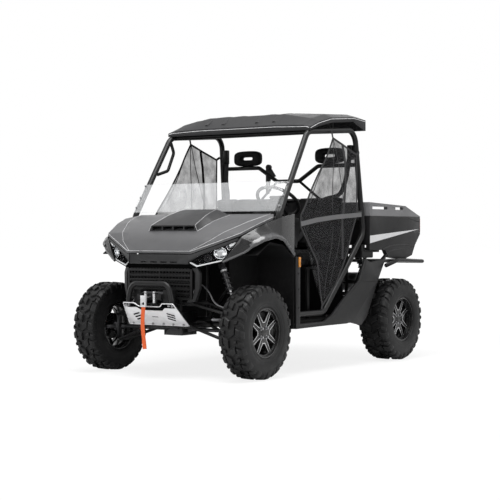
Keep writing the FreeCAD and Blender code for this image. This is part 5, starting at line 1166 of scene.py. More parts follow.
@dataclass
class Wheel:
    """One tyre on its rim."""

    name: str
    body: str
    centre: Vector
    width: float
    sign: int
    bead: float = 0.1783
    pitches: int = 15
    lug_depth: float = 0.016
    groove_shade_radius: float = 0.285
    face: float = 0.0725
    window_radius: float = 0.160
    nut_circle: float = 0.045
    nut_proud: float = 0.072

    def profile(self) -> list:
        """Side to side section of the carcass, from bead to bead and back inside.

        Returns:
            Pairs of a distance along the axle and a radius.
        """
        half = self.width / 2
        low = TYRE_RADIUS - self.lug_depth
        outer = [
            (half * 0.815, self.bead), (half * 0.84, 0.1845), (half * 0.93, 0.190),
            (half * 0.955, 0.198), (half * 0.965, 0.206), (half * 0.975, 0.2075),
            (half * 0.978, 0.224), (half * 0.985, 0.2255), (half * 0.99, 0.246),
            (half * 0.975, 0.268), (half * 0.955, 0.286), (half * 0.92, low - 0.022),
            (half * 0.85, low - 0.008), (half * 0.70, low - 0.001), (half * 0.35, low),
        ]
        return outer + [(0.0, low)] + [(-u, r) for u, r in outer[::-1]]

    def skin(self, share: float, raised: float) -> tuple:
        """Place on the tread at a share of the way from the middle down the sidewall.

        Args:
            share: nought in the middle, one at the end.
            raised: nought on the carcass, one on the lugs.

        Returns:
            Distance along the axle and radius.
        """
        half = self.width / 2
        low = TYRE_RADIUS - self.lug_depth
        high = TYRE_RADIUS
        base = [(0.0, 0.0, low), (0.62, half * 0.72, low - 0.001),
                (0.78, half * 0.86, low - 0.012), (0.90, half * 0.935, low - 0.034),
                (1.0, half * 0.955, low - 0.052)]
        top = [(0.0, 0.0, high - 0.0005), (0.62, half * 0.745, high - 0.003),
               (0.78, half * 0.915, high - 0.015), (0.90, half * 0.985, high - 0.041),
               (1.0, half * 0.985, high - 0.064)]
        found = []
        for rows in (base, top):
            for before, after in zip(rows, rows[1:]):
                if share <= after[0]:
                    break
            part = (share - before[0]) / (after[0] - before[0])
            found.append([before[i] + (after[i] - before[i]) * part for i in (1, 2)])
        return tuple(found[0][i] + (found[1][i] - found[0][i]) * raised for i in range(2))

    def lug(self, span: tuple, start: tuple, end: tuple, side: int, shift: float) -> Mesh:
        """One block of the tread.

        Args:
            span: where it begins and ends, as shares from the middle down the sidewall.
            start: its leading edge at both ends, as shares of the pitch.
            end: its trailing edge at both ends.
            side: which side of the tread.
            shift: a turn of this side against the other, as a share of the pitch.

        Returns:
            The block, about the wheel's own centre.
        """
        pitch = math.tau / self.pitches
        rows, columns = 6, 4
        points, faces = [], []
        for raised, draw in ((-0.15, 0.0), (0.72, 0.035), (1.0, 0.075)):
            for row in range(rows + 1):
                part = row / rows
                inset = draw * 0.35
                share = span[0] + inset + (span[1] - span[0] - 2 * inset) * part
                share = min(max(share, 0.0), 1.0)
                first = start[0] + (start[1] - start[0]) * part + draw
                last = end[0] + (end[1] - end[0]) * part - draw
                for step in range(columns):
                    angle = (first + (last - first) * step / (columns - 1) + shift) * pitch
                    u, radius = self.skin(share, raised)
                    points.append(Vector((u * side, radius * math.sin(angle),
                                          radius * math.cos(angle))))
        layer = (rows + 1) * columns
        rim = ([(0, c) for c in range(columns)] + [(r, columns - 1) for r in range(1, rows + 1)]
               + [(rows, c) for c in range(columns - 2, -1, -1)]
               + [(r, 0) for r in range(rows - 1, 0, -1)])
        for level in range(2):
            for (r, c), (r2, c2) in zip(rim, rim[1:] + rim[:1]):
                low = level * layer
                faces.append((low + r * columns + c, low + r2 * columns + c2,
                              low + layer + r2 * columns + c2, low + layer + r * columns + c))
        for level, turn in ((0, 1), (2, -1)):
            for r in range(rows):
                for c in range(columns - 1):
                    quad = (level * layer + r * columns + c, level * layer + (r + 1) * columns + c,
                            level * layer + (r + 1) * columns + c + 1,
                            level * layer + r * columns + c + 1)
                    faces.append(quad[::turn])
        return Form.mesh("lug", points, faces)

    def tread(self) -> Mesh:
        """One pitch of blocks on both sides, repeated round the wheel.

        Returns:
            The ring of blocks.
        """
        blocks = []
        for side, shift in ((1, 0.0), (-1, 0.5)):
            for span, start, end in (((0.02, 0.40), (0.04, 0.26), (0.50, 0.70)),
                                     ((0.44, 0.98), (0.16, 0.02), (0.62, 0.44)),
                                     ((0.60, 0.90), (0.70, 0.58), (0.96, 0.84)),
                                     ((0.30, 0.54), (0.74, 0.80), (0.98, 1.02))):
                blocks.append(self.lug(span, start, end, side, shift))
        return around_axle(Form.join("pitch", blocks), self.pitches, Finish.TYRE)

    def tyre(self) -> tuple:
        """Carcass and tread in one mesh, and how many of its faces are the carcass.

        Returns:
            The mesh and that number.
        """
        carcass = Form.lathe("carcass", self.profile(), 90)
        made = Form.join("tyre", [carcass, self.tread()])
        made.transform(Matrix.Translation(self.centre))
        return made, len(carcass.polygons)

    def window(self, root: float, half_angle: float, turn: float, grow: float) -> list:
        """Corners of a window in the wheel's face, grown by a margin.

        Args:
            root: radius of its inner end.
            half_angle: half its spread in degrees.
            turn: where it stands in degrees.
            grow: the margin.

        Returns:
            Pairs of a length and a height from the centre.
        """
        outer = self.window_radius + grow
        root = root - grow * 1.6
        spread = math.radians(half_angle) + grow / outer * 1.05
        near = math.radians(half_angle) / 3 + grow / root
        corners = [(root, -near), (outer, -spread), (outer * 1.02, 0.0), (outer, spread),
                   (root, near)]
        heading = math.radians(turn)
        return [(radius * math.sin(heading + angle), radius * math.cos(heading + angle))
                for radius, angle in corners]

    def outlines(self) -> Mesh:
        """Machined silver lines round the windows of the wheel's face.

        Returns:
            One mesh.
        """
        strips = []
        for root, half, first in ((0.082, 23.0, 0.0), (0.050, 12.0, 45.0)):
            for number in range(4):
                inner = self.window(root, half, first + 90 * number, 0.0018)
                outer = self.window(root, half, first + 90 * number, 0.0048)
                points, faces = [], []
                inner, outer = inner[3:] + inner[:2], outer[3:] + outer[:2]
                count = len(inner)
                for u in (self.face - 0.002, self.face + 0.0009):
                    for ring in (inner, outer):
                        points += [self.centre + Vector((u * self.sign, y, z)) for y, z in ring]
                for index in range(count - 1):
                    for first_row, second_row in ((2, 3), (0, 1), (1, 3), (0, 2)):
                        near, far = first_row * count + index, second_row * count + index
                        faces.append((near, near + 1, far + 1, far))
                strips.append(Form.mesh("line", points, faces))
        return Form.join("outlines", strips)

    def nuts(self) -> list:
        """Where the four wheel nuts sit, and which way they face.

        Returns:
            Pairs of a place and a direction.
        """
        way = Vector((self.sign, 0, 0))
        angles = [math.radians(45 + 90 * number) for number in range(4)]
        return [(self.centre + way * self.nut_proud
                 + Vector((0, math.sin(a), math.cos(a))) * self.nut_circle, way) for a in angles]

    def dress(self) -> None:
        """Put the wheel's pieces on its body."""
        mesh, carcass = self.tyre()
        tyre = Shelf.put(f"tread_{self.name}", mesh, Finish.TYRE, "tyre", (f"tyre_{self.name}",),
                         28.0, self.body)
        # Carcass faces past this radius, between and beside the lugs, take the darker rubber:
        # painted shade in the tread.
        tyre.data.materials.append(Finish.GROOVE_SHADE.made())
        for face in tyre.data.polygons[:carcass]:
            spot = face.center - self.centre
            face.material_index = int(math.hypot(spot.y, spot.z) > self.groove_shade_radius)
        Shelf.dress(f"rim_{self.name}", f"wheel_disc_{self.name}", Finish.RIM, "rim_black", 0.0012)
        Shelf.put(f"wheel_lines_{self.name}", self.outlines(), Finish.MACHINED, "bare_metal",
                  body=self.body)
        Shelf.put(f"wheel_nuts_{self.name}", fasteners(self.nuts(), 0.0095, 0.012, Finish.STEEL),
                  Finish.STEEL, "bare_metal", body=self.body)


@dataclass
class Damper:
    """A coil-over damper from its foot on the arm to its eye on the tower."""

    name: str
    node: str
    axle_y: float
    foot_x: float
    foot_z: float
    top_x: float = 0.372
    top_z: float = 0.862

    def dress(self) -> None:
        """Body, rod, seats and spring for both sides of an axle."""
        bottom = at(self.foot_x, self.axle_y, self.foot_z)
        top = at(self.top_x, self.axle_y, self.top_z)
        way = (top - bottom).normalized()
        length = (top - bottom).length
        place = Matrix.Translation(bottom) @ upright(way)

        def stretch(low: float, high: float, radius: float, name: str) -> Mesh:
            """A turned length of the damper between two shares of it."""
            steps = [bottom + way * (length * low), bottom + way * (length * high)]
            return Form.sweep(name, steps, radius, 24)

        eyes = []
        for centre in (bottom, top):
            ring = Form.lathe("eye", [(-0.018, 0.0104), (-0.018, 0.014), (-0.016, 0.016),
                                      (0.016, 0.016), (0.018, 0.014), (0.018, 0.0104)], 24)
            ring.transform(Matrix.Translation(centre) @ Matrix.Rotation(math.pi / 2, 4, "Z"))
            eyes.append(ring)
        body = Form.join("body", eyes + [stretch(0.46, 0.92, 0.0195, "tube"),
                                         stretch(0.88, 0.93, 0.027, "cap"),
                                         stretch(0.06, 0.10, 0.014, "neck")])
        Shelf.put(f"{self.name}_bodies", Form.both("bodies", body), Finish.SPRING, "spring_grey",
                  (self.node,))
        bright = Form.join("bright", [stretch(0.08, 0.50, 0.0085, "rod"),
                                      stretch(0.105, 0.135, 0.031, "seat"),
                                      stretch(0.80, 0.83, 0.0245, "ring")])
        Shelf.put(f"{self.name}_seats", Form.both("seats", bright), Finish.SILVER, "bare_metal")
        spring = coil(0.0275, 0.0042, 8.5, length * 0.76, Finish.SPRING)
        spring.transform(place @ Matrix.Translation((0, 0, length * 0.13)))
        Shelf.put(f"{self.name}_springs", Form.both("springs", Form.tidy(spring)), Finish.SPRING,
                  "spring_grey", sharp=60)


@dataclass
class Lamp:
    """Headlamps in the slanted corners of the nose."""

    corner: tuple = (0.296, -0.265)
    slope: float = (0.265 - 0.106) / (0.622 - 0.296)
    depth: float = 0.054
    outline: tuple = ((0.276, 0.846), (0.330, 0.812), (0.500, 0.854), (0.608, 1.008),
                      (0.360, 0.902))

    def on(self, x: float, z: float, depth: float) -> Vector:
        """A place on the lamp's front at a depth behind it."""
        return at(x, self.corner[1] + self.slope * (x - self.corner[0]) + depth, z)

    def inset(self, share: float) -> list:
        """The outline drawn towards its middle.

        Args:
            share: of the way to its middle.

        Returns:
            The corners.
        """
        mx = sum(x for x, _ in self.outline) / len(self.outline)
        mz = sum(z for _, z in self.outline) / len(self.outline)
        return [(x + (mx - x) * share, z + (mz - z) * share) for x, z in self.outline]

    def bowl(self, x: float, z: float, radius: float) -> Mesh:
        """A round reflector that opens forwards.

        Args:
            x: its place across.
            z: its height.
            radius: of its mouth.

        Returns:
            The bowl.
        """
        rings = ((1.0, 0.012), (0.92, 0.012), (0.8, 0.028), (0.5, 0.042), (0.0, 0.048))
        points = []
        sides = 28
        for share, depth in rings:
            for step in range(sides):
                turn = math.tau * step / sides
                points.append(self.on(x + radius * share * math.cos(turn),
                                      z + radius * share * math.sin(turn), depth))
        return Form.mesh("bowl", points, Form.belts(len(rings), sides))

    def panel(self, name: str, outline: tuple | list, depth: float, thick: float) -> Mesh:
        """A plate of an outline at a depth behind the lamp's front."""
        return Form.plate(name, [self.on(x, z, depth) for x, z in outline],
                          Vector((0, thick, 0)))

    def dress(self) -> None:
        """Lens, housing, reflectors and lit strips on both sides."""
        walls = []
        rim, inner = self.inset(0.0), self.inset(0.055)
        for first in range(len(rim)):
            second = (first + 1) % len(rim)
            ring = (rim[first], rim[second], inner[second], inner[first])
            points = [self.on(*spot, depth) for spot, depth in zip(
                ring + ring, (0.002, 0.002, 0.004, 0.004) + (self.depth,) * 4)]
            walls.append(Form.mesh("wall", points, [
                (0, 1, 2, 3), (4, 7, 6, 5), (0, 4, 5, 1), (1, 5, 6, 2), (2, 6, 7, 3),
                (3, 7, 4, 0)]))
        back = self.panel("back", self.outline, self.depth, 0.008)
        Shelf.put("lamp_housings", Form.both("housings", Form.join("h", [back] + walls)),
                  Finish.SHADOW, "black_plastic", ("headlamps",))
        lens = self.panel("lens", self.outline, 0.0, 0.003)
        Shelf.put("lamp_lenses", Form.both("lenses", lens), Finish.LENS, "lamp_clear")
        bowls = Form.join("bowls", [self.bowl(0.487, 0.918, 0.042),
                                    self.bowl(0.552, 0.964, 0.024)])
        Shelf.put("lamp_reflectors", Form.both("reflectors", bowls), Finish.REFLECTOR,
                  "bare_metal")
        Shelf.put("lamp_inner_bowls", Form.both("inner", self.bowl(0.405, 0.880, 0.026)),
                  Finish.CAST, "bare_metal")
        strip = [(0.283, 0.847), (0.331, 0.8175), (0.496, 0.8585), (0.5055, 0.874),
                 (0.492, 0.8665), (0.334, 0.8285), (0.292, 0.8525)]
        lit = self.panel("lit", strip, 0.006, 0.010)
        brow = [(0.545, 0.9775), (0.602, 1.0025), (0.590, 0.985), (0.552, 0.962)]
        upper = self.panel("upper", brow, 0.008, 0.008)
        Shelf.put("lamp_strips", Form.both("strips", Form.join("s", [lit, upper])),
                  Finish.DAY_STRIP, "lamp_clear")


@dataclass
class Nose:
    """Hood, scoop, fascia, grille and chin."""

    grille_front: float = -0.256
    cell: float = 0.030
    mesh_reach: float = 0.278
    scoop_front: float = -0.092
    scoop_reach: float = 0.202
    scoop_low: float = 1.0805
    scoop_high: float = 1.118

    def creases(self) -> Mesh:
        """Fine lines in a light finish along the edges of the hood and of its scoop: painted
        highlights on the creases.

        Returns:
            Both sides in one mesh.
        """
        edge = [(0.0, -0.2655, 0.931), (0.296, -0.2655, 0.931), (0.449, -0.190, 0.991),
                (0.622, -0.106, 1.061), (0.678, 0.075, 1.138), (0.700, 0.205, 1.181)]
        fold = [(0.285, -0.262, 0.9325), (0.400, -0.190, 1.002), (0.478, -0.106, 1.069),
                (0.570, 0.075, 1.1478), (0.612, 0.205, 1.1870), (0.616, 0.298, 1.2075)]
        ridge = [(0.2275, -0.0925, 1.0785), (0.2065, -0.0925, 1.1225), (0.1815, 0.075, 1.196),
                 (0.1615, 0.205, 1.235), (0.153, 0.2575, 1.2455)]
        heel = [(0.2275, -0.0925, 1.0785), (0.2505, 0.075, 1.151), (0.2685, 0.205, 1.1895),
                (0.275, 0.2575, 1.200)]
        lines = [Form.sweep("line", [at(*p) for p in path], radius, 6)
                 for path, radius in ((edge, 0.0016), (fold, 0.0016), (ridge, 0.0015),
                                      (heel, 0.0015))]
        return Form.both("creases", Form.join("lines", lines))

    def radiator(self) -> Mesh:
        """Finned core behind the grille, between the frame's rails.

        Returns:
            One mesh.
        """
        parts = [Form.slab("core", at(-0.128, -0.190, 0.585), at(0.128, -0.165, 0.80), 0.003)]
        for number in range(16):
            z = 0.592 + number * 0.0133
            parts.append(Form.slab("fin", at(-0.126, -0.193, z), at(0.126, -0.190, z + 0.003), 0))
        return Form.join("radiator", parts)

    def lattice(self) -> Mesh:
        """Honeycomb behind the grille's frame.

        Returns:
            One mesh.
        """
        tree = Repeat("honeycomb", {"Bar": 0.0042})
        ring = tree.add("GeometryNodeCurvePrimitiveCircle", Resolution=6,
                        Radius=self.cell * 0.56)
        bar = tree.add("GeometryNodeCurvePrimitiveCircle", Resolution=6,
                       Radius=tree.given("Bar"))
        cell = tree.add("GeometryNodeCurveToMesh", Curve=ring.outputs[0],
                        Profile_Curve=bar.outputs[0])
        stretched = tree.add("GeometryNodeTransform", Geometry=cell.outputs[0],
                             Scale=(1.0, 0.62, 1.0))
        copies = tree.add("GeometryNodeInstanceOnPoints", Points=tree.given("Geometry"),
                          Instance=stretched.outputs[0])
        spots = []
        for row in range(11):
            for column in range(19):
                x = (column - 9 + (row % 2) * 0.5) * self.cell * 0.98
                z = row * self.cell * 0.66
                if abs(x) < self.mesh_reach:
                    spots.append((x, z, 0.0))
        cloud = bpy.data.meshes.new("cells")
        cloud.from_pydata(spots, [], [])
        made = tree.run(cloud, copies.outputs[0], Finish.BLACK_PLASTIC)
        made.transform(Matrix.Translation(at(0, self.grille_front + 0.004, 0.597))
                       @ Matrix.Rotation(math.pi / 2, 4, "X"))
        return Form.tidy(made)

    def shade_sheet(self) -> Mesh:
        """Dark sheet close behind the grille and under the lamps: painted shade seen through the
        honeycomb.

        Returns:
            The plate.
        """
        half = [(0.250, 0.578), (0.292, 0.600), (0.300, 0.780), (0.338, 0.800), (0.338, 0.846)]
        outline = [(-0.250, 0.578)] + half + [(-x, z) for x, z in half[:0:-1]]
        return Form.plate("grille_shade", [at(x, -0.234, z) for x, z in outline], Vector((0, 0.003, 0)))

    def chin(self) -> Mesh:
        """Grey side trims of the grille.

        Returns:
            The left one.
        """
        outline = [(0.296, 0.806), (0.338, 0.808), (0.356, 0.770), (0.352, 0.660), (0.322, 0.566),
                   (0.262, 0.556), (0.262, 0.572), (0.302, 0.584), (0.318, 0.664), (0.318, 0.770)]
        front = [at(x, -0.262 + 0.34 * (x - 0.262), z) for x, z in outline]
        return Form.plate("chin", front, Vector((0, 0.026, 0)), 0.003)

    def dress(self) -> None:
        """Put the nose's pieces on their bodies."""
        Shelf.dress("hood", "hood_skin", Finish.HOOD, "grey_body", 0.0035, 15.0)
        scoop = Shelf.dress("hood_scoop", "scoop_skin", Finish.SCOOP, "dark_body", 0.002, 18.0)
        front = at(0, self.scoop_front, 0).y
        Shelf.paint(scoop, Finish.SHADOW, lambda centre, normal: (
            front + 0.003 < centre.y < front + 0.062 and abs(centre.x) < self.scoop_reach
            and (centre.y > front + 0.055 or abs(normal.y) < 0.3)
            and self.scoop_low < centre.z < self.scoop_high))
        # Side walls of the scoop, picked by the way they face, take the fascia's tone: painted
        # light and shade that sets them off from its top.
        Shelf.paint(scoop, Finish.FASCIA, lambda centre, normal: abs(normal.x) > 0.5)
        # The hood's crease lines in the light finish: painted highlights.
        Shelf.put("hood_creases", self.creases(), Finish.CREASE, "grey_body", body="hood")
        Shelf.put("radiator", self.radiator(), Finish.SHADOW, "black_plastic")
        Shelf.put("grille_duct", self.shade_sheet(), Finish.SHADOW, "black_plastic")
        Shelf.dress("front_fascia", "fascia_band", Finish.FASCIA, "grey_body", 0.0025)
        Shelf.dress("grille", "grille_frame", Finish.BLACK_PLASTIC, "black_plastic", 0.0015)
        Shelf.put("grille_honeycomb", self.lattice(), Finish.BLACK_PLASTIC, "black_plastic")
        Shelf.put("grille_chins", Form.both("chins", self.chin()), Finish.BODY, "grey_body")
        Lamp().dress()


@dataclass
class FrontGuard:
    """Skid plate, hoop, winch, fairlead, hook and pull strap."""

    strap_x: float = -0.017
    strap_y: float = -0.420
    strap_top: float = 0.524
    strap_bottom: float = 0.219
    strap_width: float = 0.034
    strap_fold: float = 0.06
    foot_y: float = -0.256
    foot_z: float = 0.384
    slope: float = (0.392 - 0.256) / (0.553 - 0.384)

    def pull_strap(self) -> None:
        """Webbing that hangs from the hook with a sewn fold at its end."""
        path = []
        for step in range(15):
            share = step / 14
            drift = 0.011 * math.sin(share * 4.2) - 0.004 * share
            path.append(at(self.strap_x - drift, self.strap_y + 0.0015 * math.sin(share * 5),
                           self.strap_top + (self.strap_bottom - self.strap_top) * share))
        band = Form.strap("band", path, self.strap_width, 0.0026, Vector((0, 1, 0)))
        fold = Form.strap("fold", [p + Vector((0, -0.0028, 0)) for p in path[-4:]],
                          self.strap_width * 0.98, 0.0024, Vector((0, 1, 0)))
        strap = Shelf.put("pull_strap_webbing", Form.join("strap", [band, fold]), Finish.STRAP,
                          "strap", ("pull_strap",))

    def wound_rope(self) -> Mesh:
        """Rope wound on the winch's drum.

        Returns:
            The rope.
        """
        turns = coil(0.0335, 0.004, 23.0, 0.190, Finish.CAST)
        turns.transform(Matrix.Translation(at(-0.095, -0.308, 0.5973))
                        @ Matrix.Rotation(math.pi / 2, 4, "Y"))
        return Form.tidy(turns)

    def facing(self) -> Vector:
        """The way that the skid plate's front faces."""
        return Vector((0, -1, -self.slope)).normalized()

    def on_skid(self, x: float, z: float, proud: float) -> Vector:
        """A place that stands proud of the skid plate's front face."""
        place = at(x, self.foot_y - (z - self.foot_z) * self.slope, z)
        return place + self.facing() * proud

    def shade_sheet(self) -> Mesh:
        """Black sheet close behind the skid plate, seen through its slots: painted shade behind
        them.

        Returns:
            The sheet.
        """
        outline = [self.on_skid(x, z, -0.0075) for x, z in (
            (-0.262, 0.392), (0.262, 0.392), (0.228, 0.515), (-0.228, 0.515))]
        return Form.plate("shade_sheet", outline, Vector((0, 0.002, 0)))

    def slot_shades(self) -> Mesh:
        """Black inlays round the skid plate's slanted slots: painted shade that makes them read as
        open holes.

        Returns:
            Both sides in one mesh.
        """
        linings = []
        for number in range(3):
            near, low = 0.115 + 0.006 * number, 0.045 + 0.0235 * number
            corners = [(near, low + 0.020), (near + 0.066, low), (near + 0.066, low + 0.013),
                       (near, low + 0.033)]
            linings.append(Form.plate("slot_shade", [
                self.on_skid(x, self.foot_z + 0.780 * w, 0.0004) for x, w in corners],
                Vector((0, 0.0008, 0.0006))))
        return Form.both("linings", Form.join("half", linings))

    def rolled_edges(self) -> Mesh:
        """Rolled lips along the skid plate's ears and ends.

        Returns:
            Both sides in one mesh.
        """
        half = [(0.0, 0.527), (0.098, 0.527), (0.131, 0.552), (0.232, 0.552), (0.275, 0.388),
                (0.0, 0.388)]
        path = Form.bent([self.on_skid(x, z, 0.001) for x, z in half], 0.012)
        return Form.both("edges", Form.sweep("edge", path, 0.0042, 10))

    def sleeves(self) -> Mesh:
        """Bright sleeves on the fairlead's rollers.

        Returns:
            One mesh.
        """
        parts = []
        for x in (-0.040, 0.040):
            ends = [at(x, -0.366, z) for z in (0.553, 0.556, 0.634, 0.637)]
            parts.append(Form.sweep("sleeve", ends, 0.0117, 20))
        return Form.join("sleeves", parts)

    def bolts(self) -> list:
        """Heads along the skid plate's upper lugs and foot.

        Returns:
            Pairs of a place and a direction.
        """
        places = ((0.185, 0.538), (0.215, 0.535), (0.05, 0.396), (0.14, 0.396), (0.235, 0.396))
        return [(self.on_skid(x * sign, z, 0.0012), self.facing())
                for x, z in places for sign in SIDES.values()]

    def dress(self) -> None:
        """Put the guard's pieces on the chassis."""
        Shelf.dress("skid_plate", "skid_plate_sheet", Finish.SILVER, "silver_plate", 0.0012)
        Shelf.dress("bull_bar", "front_hoop", Finish.CAGE, "black_steel")
        Shelf.dress("winch", "winch_housing", Finish.BLACK_PLASTIC, "black_steel", 0.004)
        Shelf.dress("fairlead", "fairlead_frame", Finish.CAGE, "silver_plate", 0.001)
        Shelf.put("fairlead_sleeves", self.sleeves(), Finish.MACHINED, "silver_plate")
        Shelf.dress("winch_hook", "winch_hook_steel", Finish.SILVER, "silver_plate", 0.003)
        Shelf.put("winch_rope", self.wound_rope(), Finish.CAST, "bare_metal", sharp=60)
        Shelf.put("skid_backing", self.shade_sheet(), Finish.SHADOW, "black_steel")
        Shelf.put("skid_slot_linings", self.slot_shades(), Finish.SHADOW, "black_steel")
        Shelf.put("skid_rolled_edges", self.rolled_edges(), Finish.SILVER, "silver_plate")
        Shelf.put("skid_bolts", fasteners(self.bolts(), 0.0065, 0.006, Finish.STEEL), Finish.STEEL,
                  "bare_metal")
        self.pull_strap()


@dataclass
class SideNet:
    """A mesh side net with its hems, seams and belt band."""

    side: str
    x: float = 0.6975
    outline: tuple = ((1.055, 1.811), (1.425, 1.696), (1.425, 1.211), (1.280, 0.929),
                      (1.0976, 0.6483), (0.892, 0.500), (0.833, 0.840), (0.578, 1.118),
                      (0.578, 1.196), (0.930, 1.625))

    def wave(self, y: float, z: float) -> float:
        """How far the cloth stands off its plane at a place."""
        edge = min(abs(y - 1.425), 0.2) / 0.2
        return 0.006 * math.sin(z * 9 + y * 5) * edge + 0.003 * noise.noise((y * 7, z * 4, 0.3))

    def cloth(self) -> Mesh:
        """The sheet, cut to its outline on a fine grid.

        Returns:
            The sheet with its thickness.
        """
        work = bmesh.new()
        face = work.faces.new([work.verts.new((0, y, z)) for y, z in self.outline])
        bmesh.ops.triangulate(work, faces=[face])
        for normal, low, high, steps in ((Vector((0, 1, 0)), 0.55, 1.45, 22),
                                         (Vector((0, 0, 1)), 0.48, 1.83, 34)):
            for number in range(1, steps):
                bmesh.ops.bisect_plane(work, geom=work.verts[:] + work.edges[:] + work.faces[:],
                                       plane_co=normal * (low + (high - low) * number / steps),
                                       plane_no=normal)
        bmesh.ops.remove_doubles(work, verts=work.verts, dist=1e-5)
        made = Form.done(work, "cloth")
        sign = SIDES[self.side]
        for vert in made.vertices:
            _, y, z = vert.co
            vert.co = at((self.x + self.wave(y, z)) * sign, y, z)
        return Shelf.through(made, ("SOLIDIFY", {"thickness": 0.0012, "offset": 0.0}))

    def run(self, line: list, width: float, proud: float, thick: float = 0.003) -> Mesh:
        """A strap along a line of (length, height) pairs on the net.

        Args:
            line: the pairs.
            width: across it.
            proud: how far it stands off the net.
            thick: through it.

        Returns:
            The strap.
        """
        steps = 8
        places = []
        for (y0, z0), (y1, z1) in zip(line, line[1:]):
            places += [(y0 + (y1 - y0) * (step / steps), z0 + (z1 - z0) * (step / steps))
                       for step in range(steps)]
        path = [at((self.x + self.wave(y, z) + proud) * SIDES[self.side], y, z)
                for y, z in places + [line[-1]]]
        return Form.strap("run", path, width, thick, Vector((1, 0, 0)))

    def dress(self) -> None:
        """Put the net and its straps on the chassis."""
        net = Shelf.put(f"net_cloth_{self.side}", self.cloth(), Finish.NET, "net",
                        (f"net_{self.side}",))
        ends = list(zip(self.outline, self.outline[1:] + self.outline[:1]))
        hem = [self.run(list(pair), 0.016, 0.002) for pair in ends]
        seams = [self.run(line, 0.007, 0.0015, 0.002) for line in (
            [(1.055, 1.811), (1.060, 1.20)], [(1.052, 1.80), (0.72, 1.30)],
            [(1.060, 1.81), (1.27, 1.21)], [(1.06, 1.12), (0.93, 0.56)],
            [(0.62, 1.12), (0.92, 0.70)], [(1.20, 1.15), (1.02, 0.66)])]
        seams.append(self.run([(1.195, 1.765), (1.232, 1.62), (1.245, 1.45), (1.238, 1.30),
                               (1.205, 1.16), (1.19, 0.86)], 0.030, 0.0022, 0.002))
        ties = [self.run([(1.055, 1.808), (1.035, 1.868)], 0.018, 0.002),
                self.run([(1.425, 1.70), (1.468, 1.72)], 0.02, 0.002),
                self.run([(1.425, 1.23), (1.52, 1.24)], 0.02, 0.002),
                self.run([(0.892, 0.505), (0.88, 0.47)], 0.02, 0.002)]
        edging = Shelf.put(f"net_hems_{self.side}", Form.join("hems", hem + seams + ties),
                           Finish.HEM, "net")
        band = Shelf.put(f"net_band_{self.side}", self.run(
            [(0.580, 1.133), (0.80, 1.165), (1.086, 1.190), (1.30, 1.203), (1.50, 1.215)],
            0.036, 0.0045), Finish.BAND, "net")
        area = sum((y0 * z1 - y1 * z0) / 2 for (y0, z0), (y1, z1) in ends)


@dataclass
class Seat:
    """Bench cushion and back, inflated as cloth and sewn into panels."""

    half: float = 0.612
    voxel: float = 0.006
    seams: tuple = (-0.40, -0.205, -0.01, 0.215, 0.41)
    seam_width: float = 0.011

    def pad(self, low: Vector, high: Vector, lean: float, cap: float) -> Mesh:
        """A softened block that is then inflated.

        Args:
            low: its lowest corner.
            high: its highest corner.
            lean: how far its top lies behind its foot.
            cap: how far a point may move.

        Returns:
            The pad's mesh.
        """
        mesh = Form.slab("pad", low, high, 0.022)
        for vert in mesh.vertices:
            vert.co.y += lean * ((vert.co.z - low.z) / (high.z - low.z))
        return Seat.inflated(mesh, self.voxel, cap)

    @staticmethod
    def inflated(mesh: Mesh, voxel: float, cap: float) -> Mesh:
        """Blow a closed cover up as cloth.

        Args:
            mesh: the cover.
            voxel: the size of its new faces.
            cap: how far a point may move.
        """
        mesh = Shelf.through(mesh, ("REMESH", {"mode": "VOXEL", "voxel_size": voxel}))
        before = [vert.co.copy() for vert in mesh.vertices]
        piece = placed("scratch", mesh)
        cloth = piece.modifiers.new("cloth", "CLOTH")
        cloth.settings.quality = CLOTH_QUALITY
        cloth.settings.use_pressure = True
        cloth.settings.uniform_pressure_force = CLOTH_PRESSURE
        cloth.settings.effector_weights.gravity = 0.0
        scene = bpy.context.scene
        for number in range(CLOTH_FRAMES):
            scene.frame_set(number + 1)
        mesh = Shelf.settled(piece)
        bpy.data.objects.remove(piece)
        scene.frame_set(1)
        for vert, start in zip(mesh.vertices, before):
            moved = vert.co - start
            if moved.length > cap:
                vert.co = start + moved.normalized() * cap
        return mesh

    def sew(self, mesh: Mesh, seams: tuple, depth: float, axis: int) -> None:
        """Press sewn channels into a pad.

        Args:
            mesh: the pad.
            seams: places of the seams along the axis.
            depth: how deep a seam lies.
            axis: the axis that the seams stand across.
        """
        for vert, normal in zip(mesh.vertices, [v.normal.copy() for v in mesh.vertices]):
            near = min(abs(vert.co[axis] - seam) for seam in seams)
            vert.co -= normal * (depth * math.exp(-(near / self.seam_width) ** 2))

    def dress(self) -> None:
        """Cushion and back on the chassis."""
        cushion = self.pad(at(-self.half, 0.720, 0.806), at(self.half, 1.292, 0.920), 0.0, 0.012)
        self.sew(cushion, self.seams, 0.011, 0)
        self.sew(cushion, (at(0, 0.86, 0).y, at(0, 1.02, 0).y), 0.007, 1)
        made = Shelf.put("seat_cushion_pad", cushion, Finish.SEAT, "seat_fabric",
                         ("seat_cushion",), 60)
        back = self.pad(at(-self.half, 1.188, 0.938), at(self.half, 1.280, 1.355), 0.112, 0.014)
        self.sew(back, self.seams, 0.012, 0)
        made = Shelf.put("seat_back_pad", back, Finish.SEAT, "seat_fabric", ("seat_back",), 60)


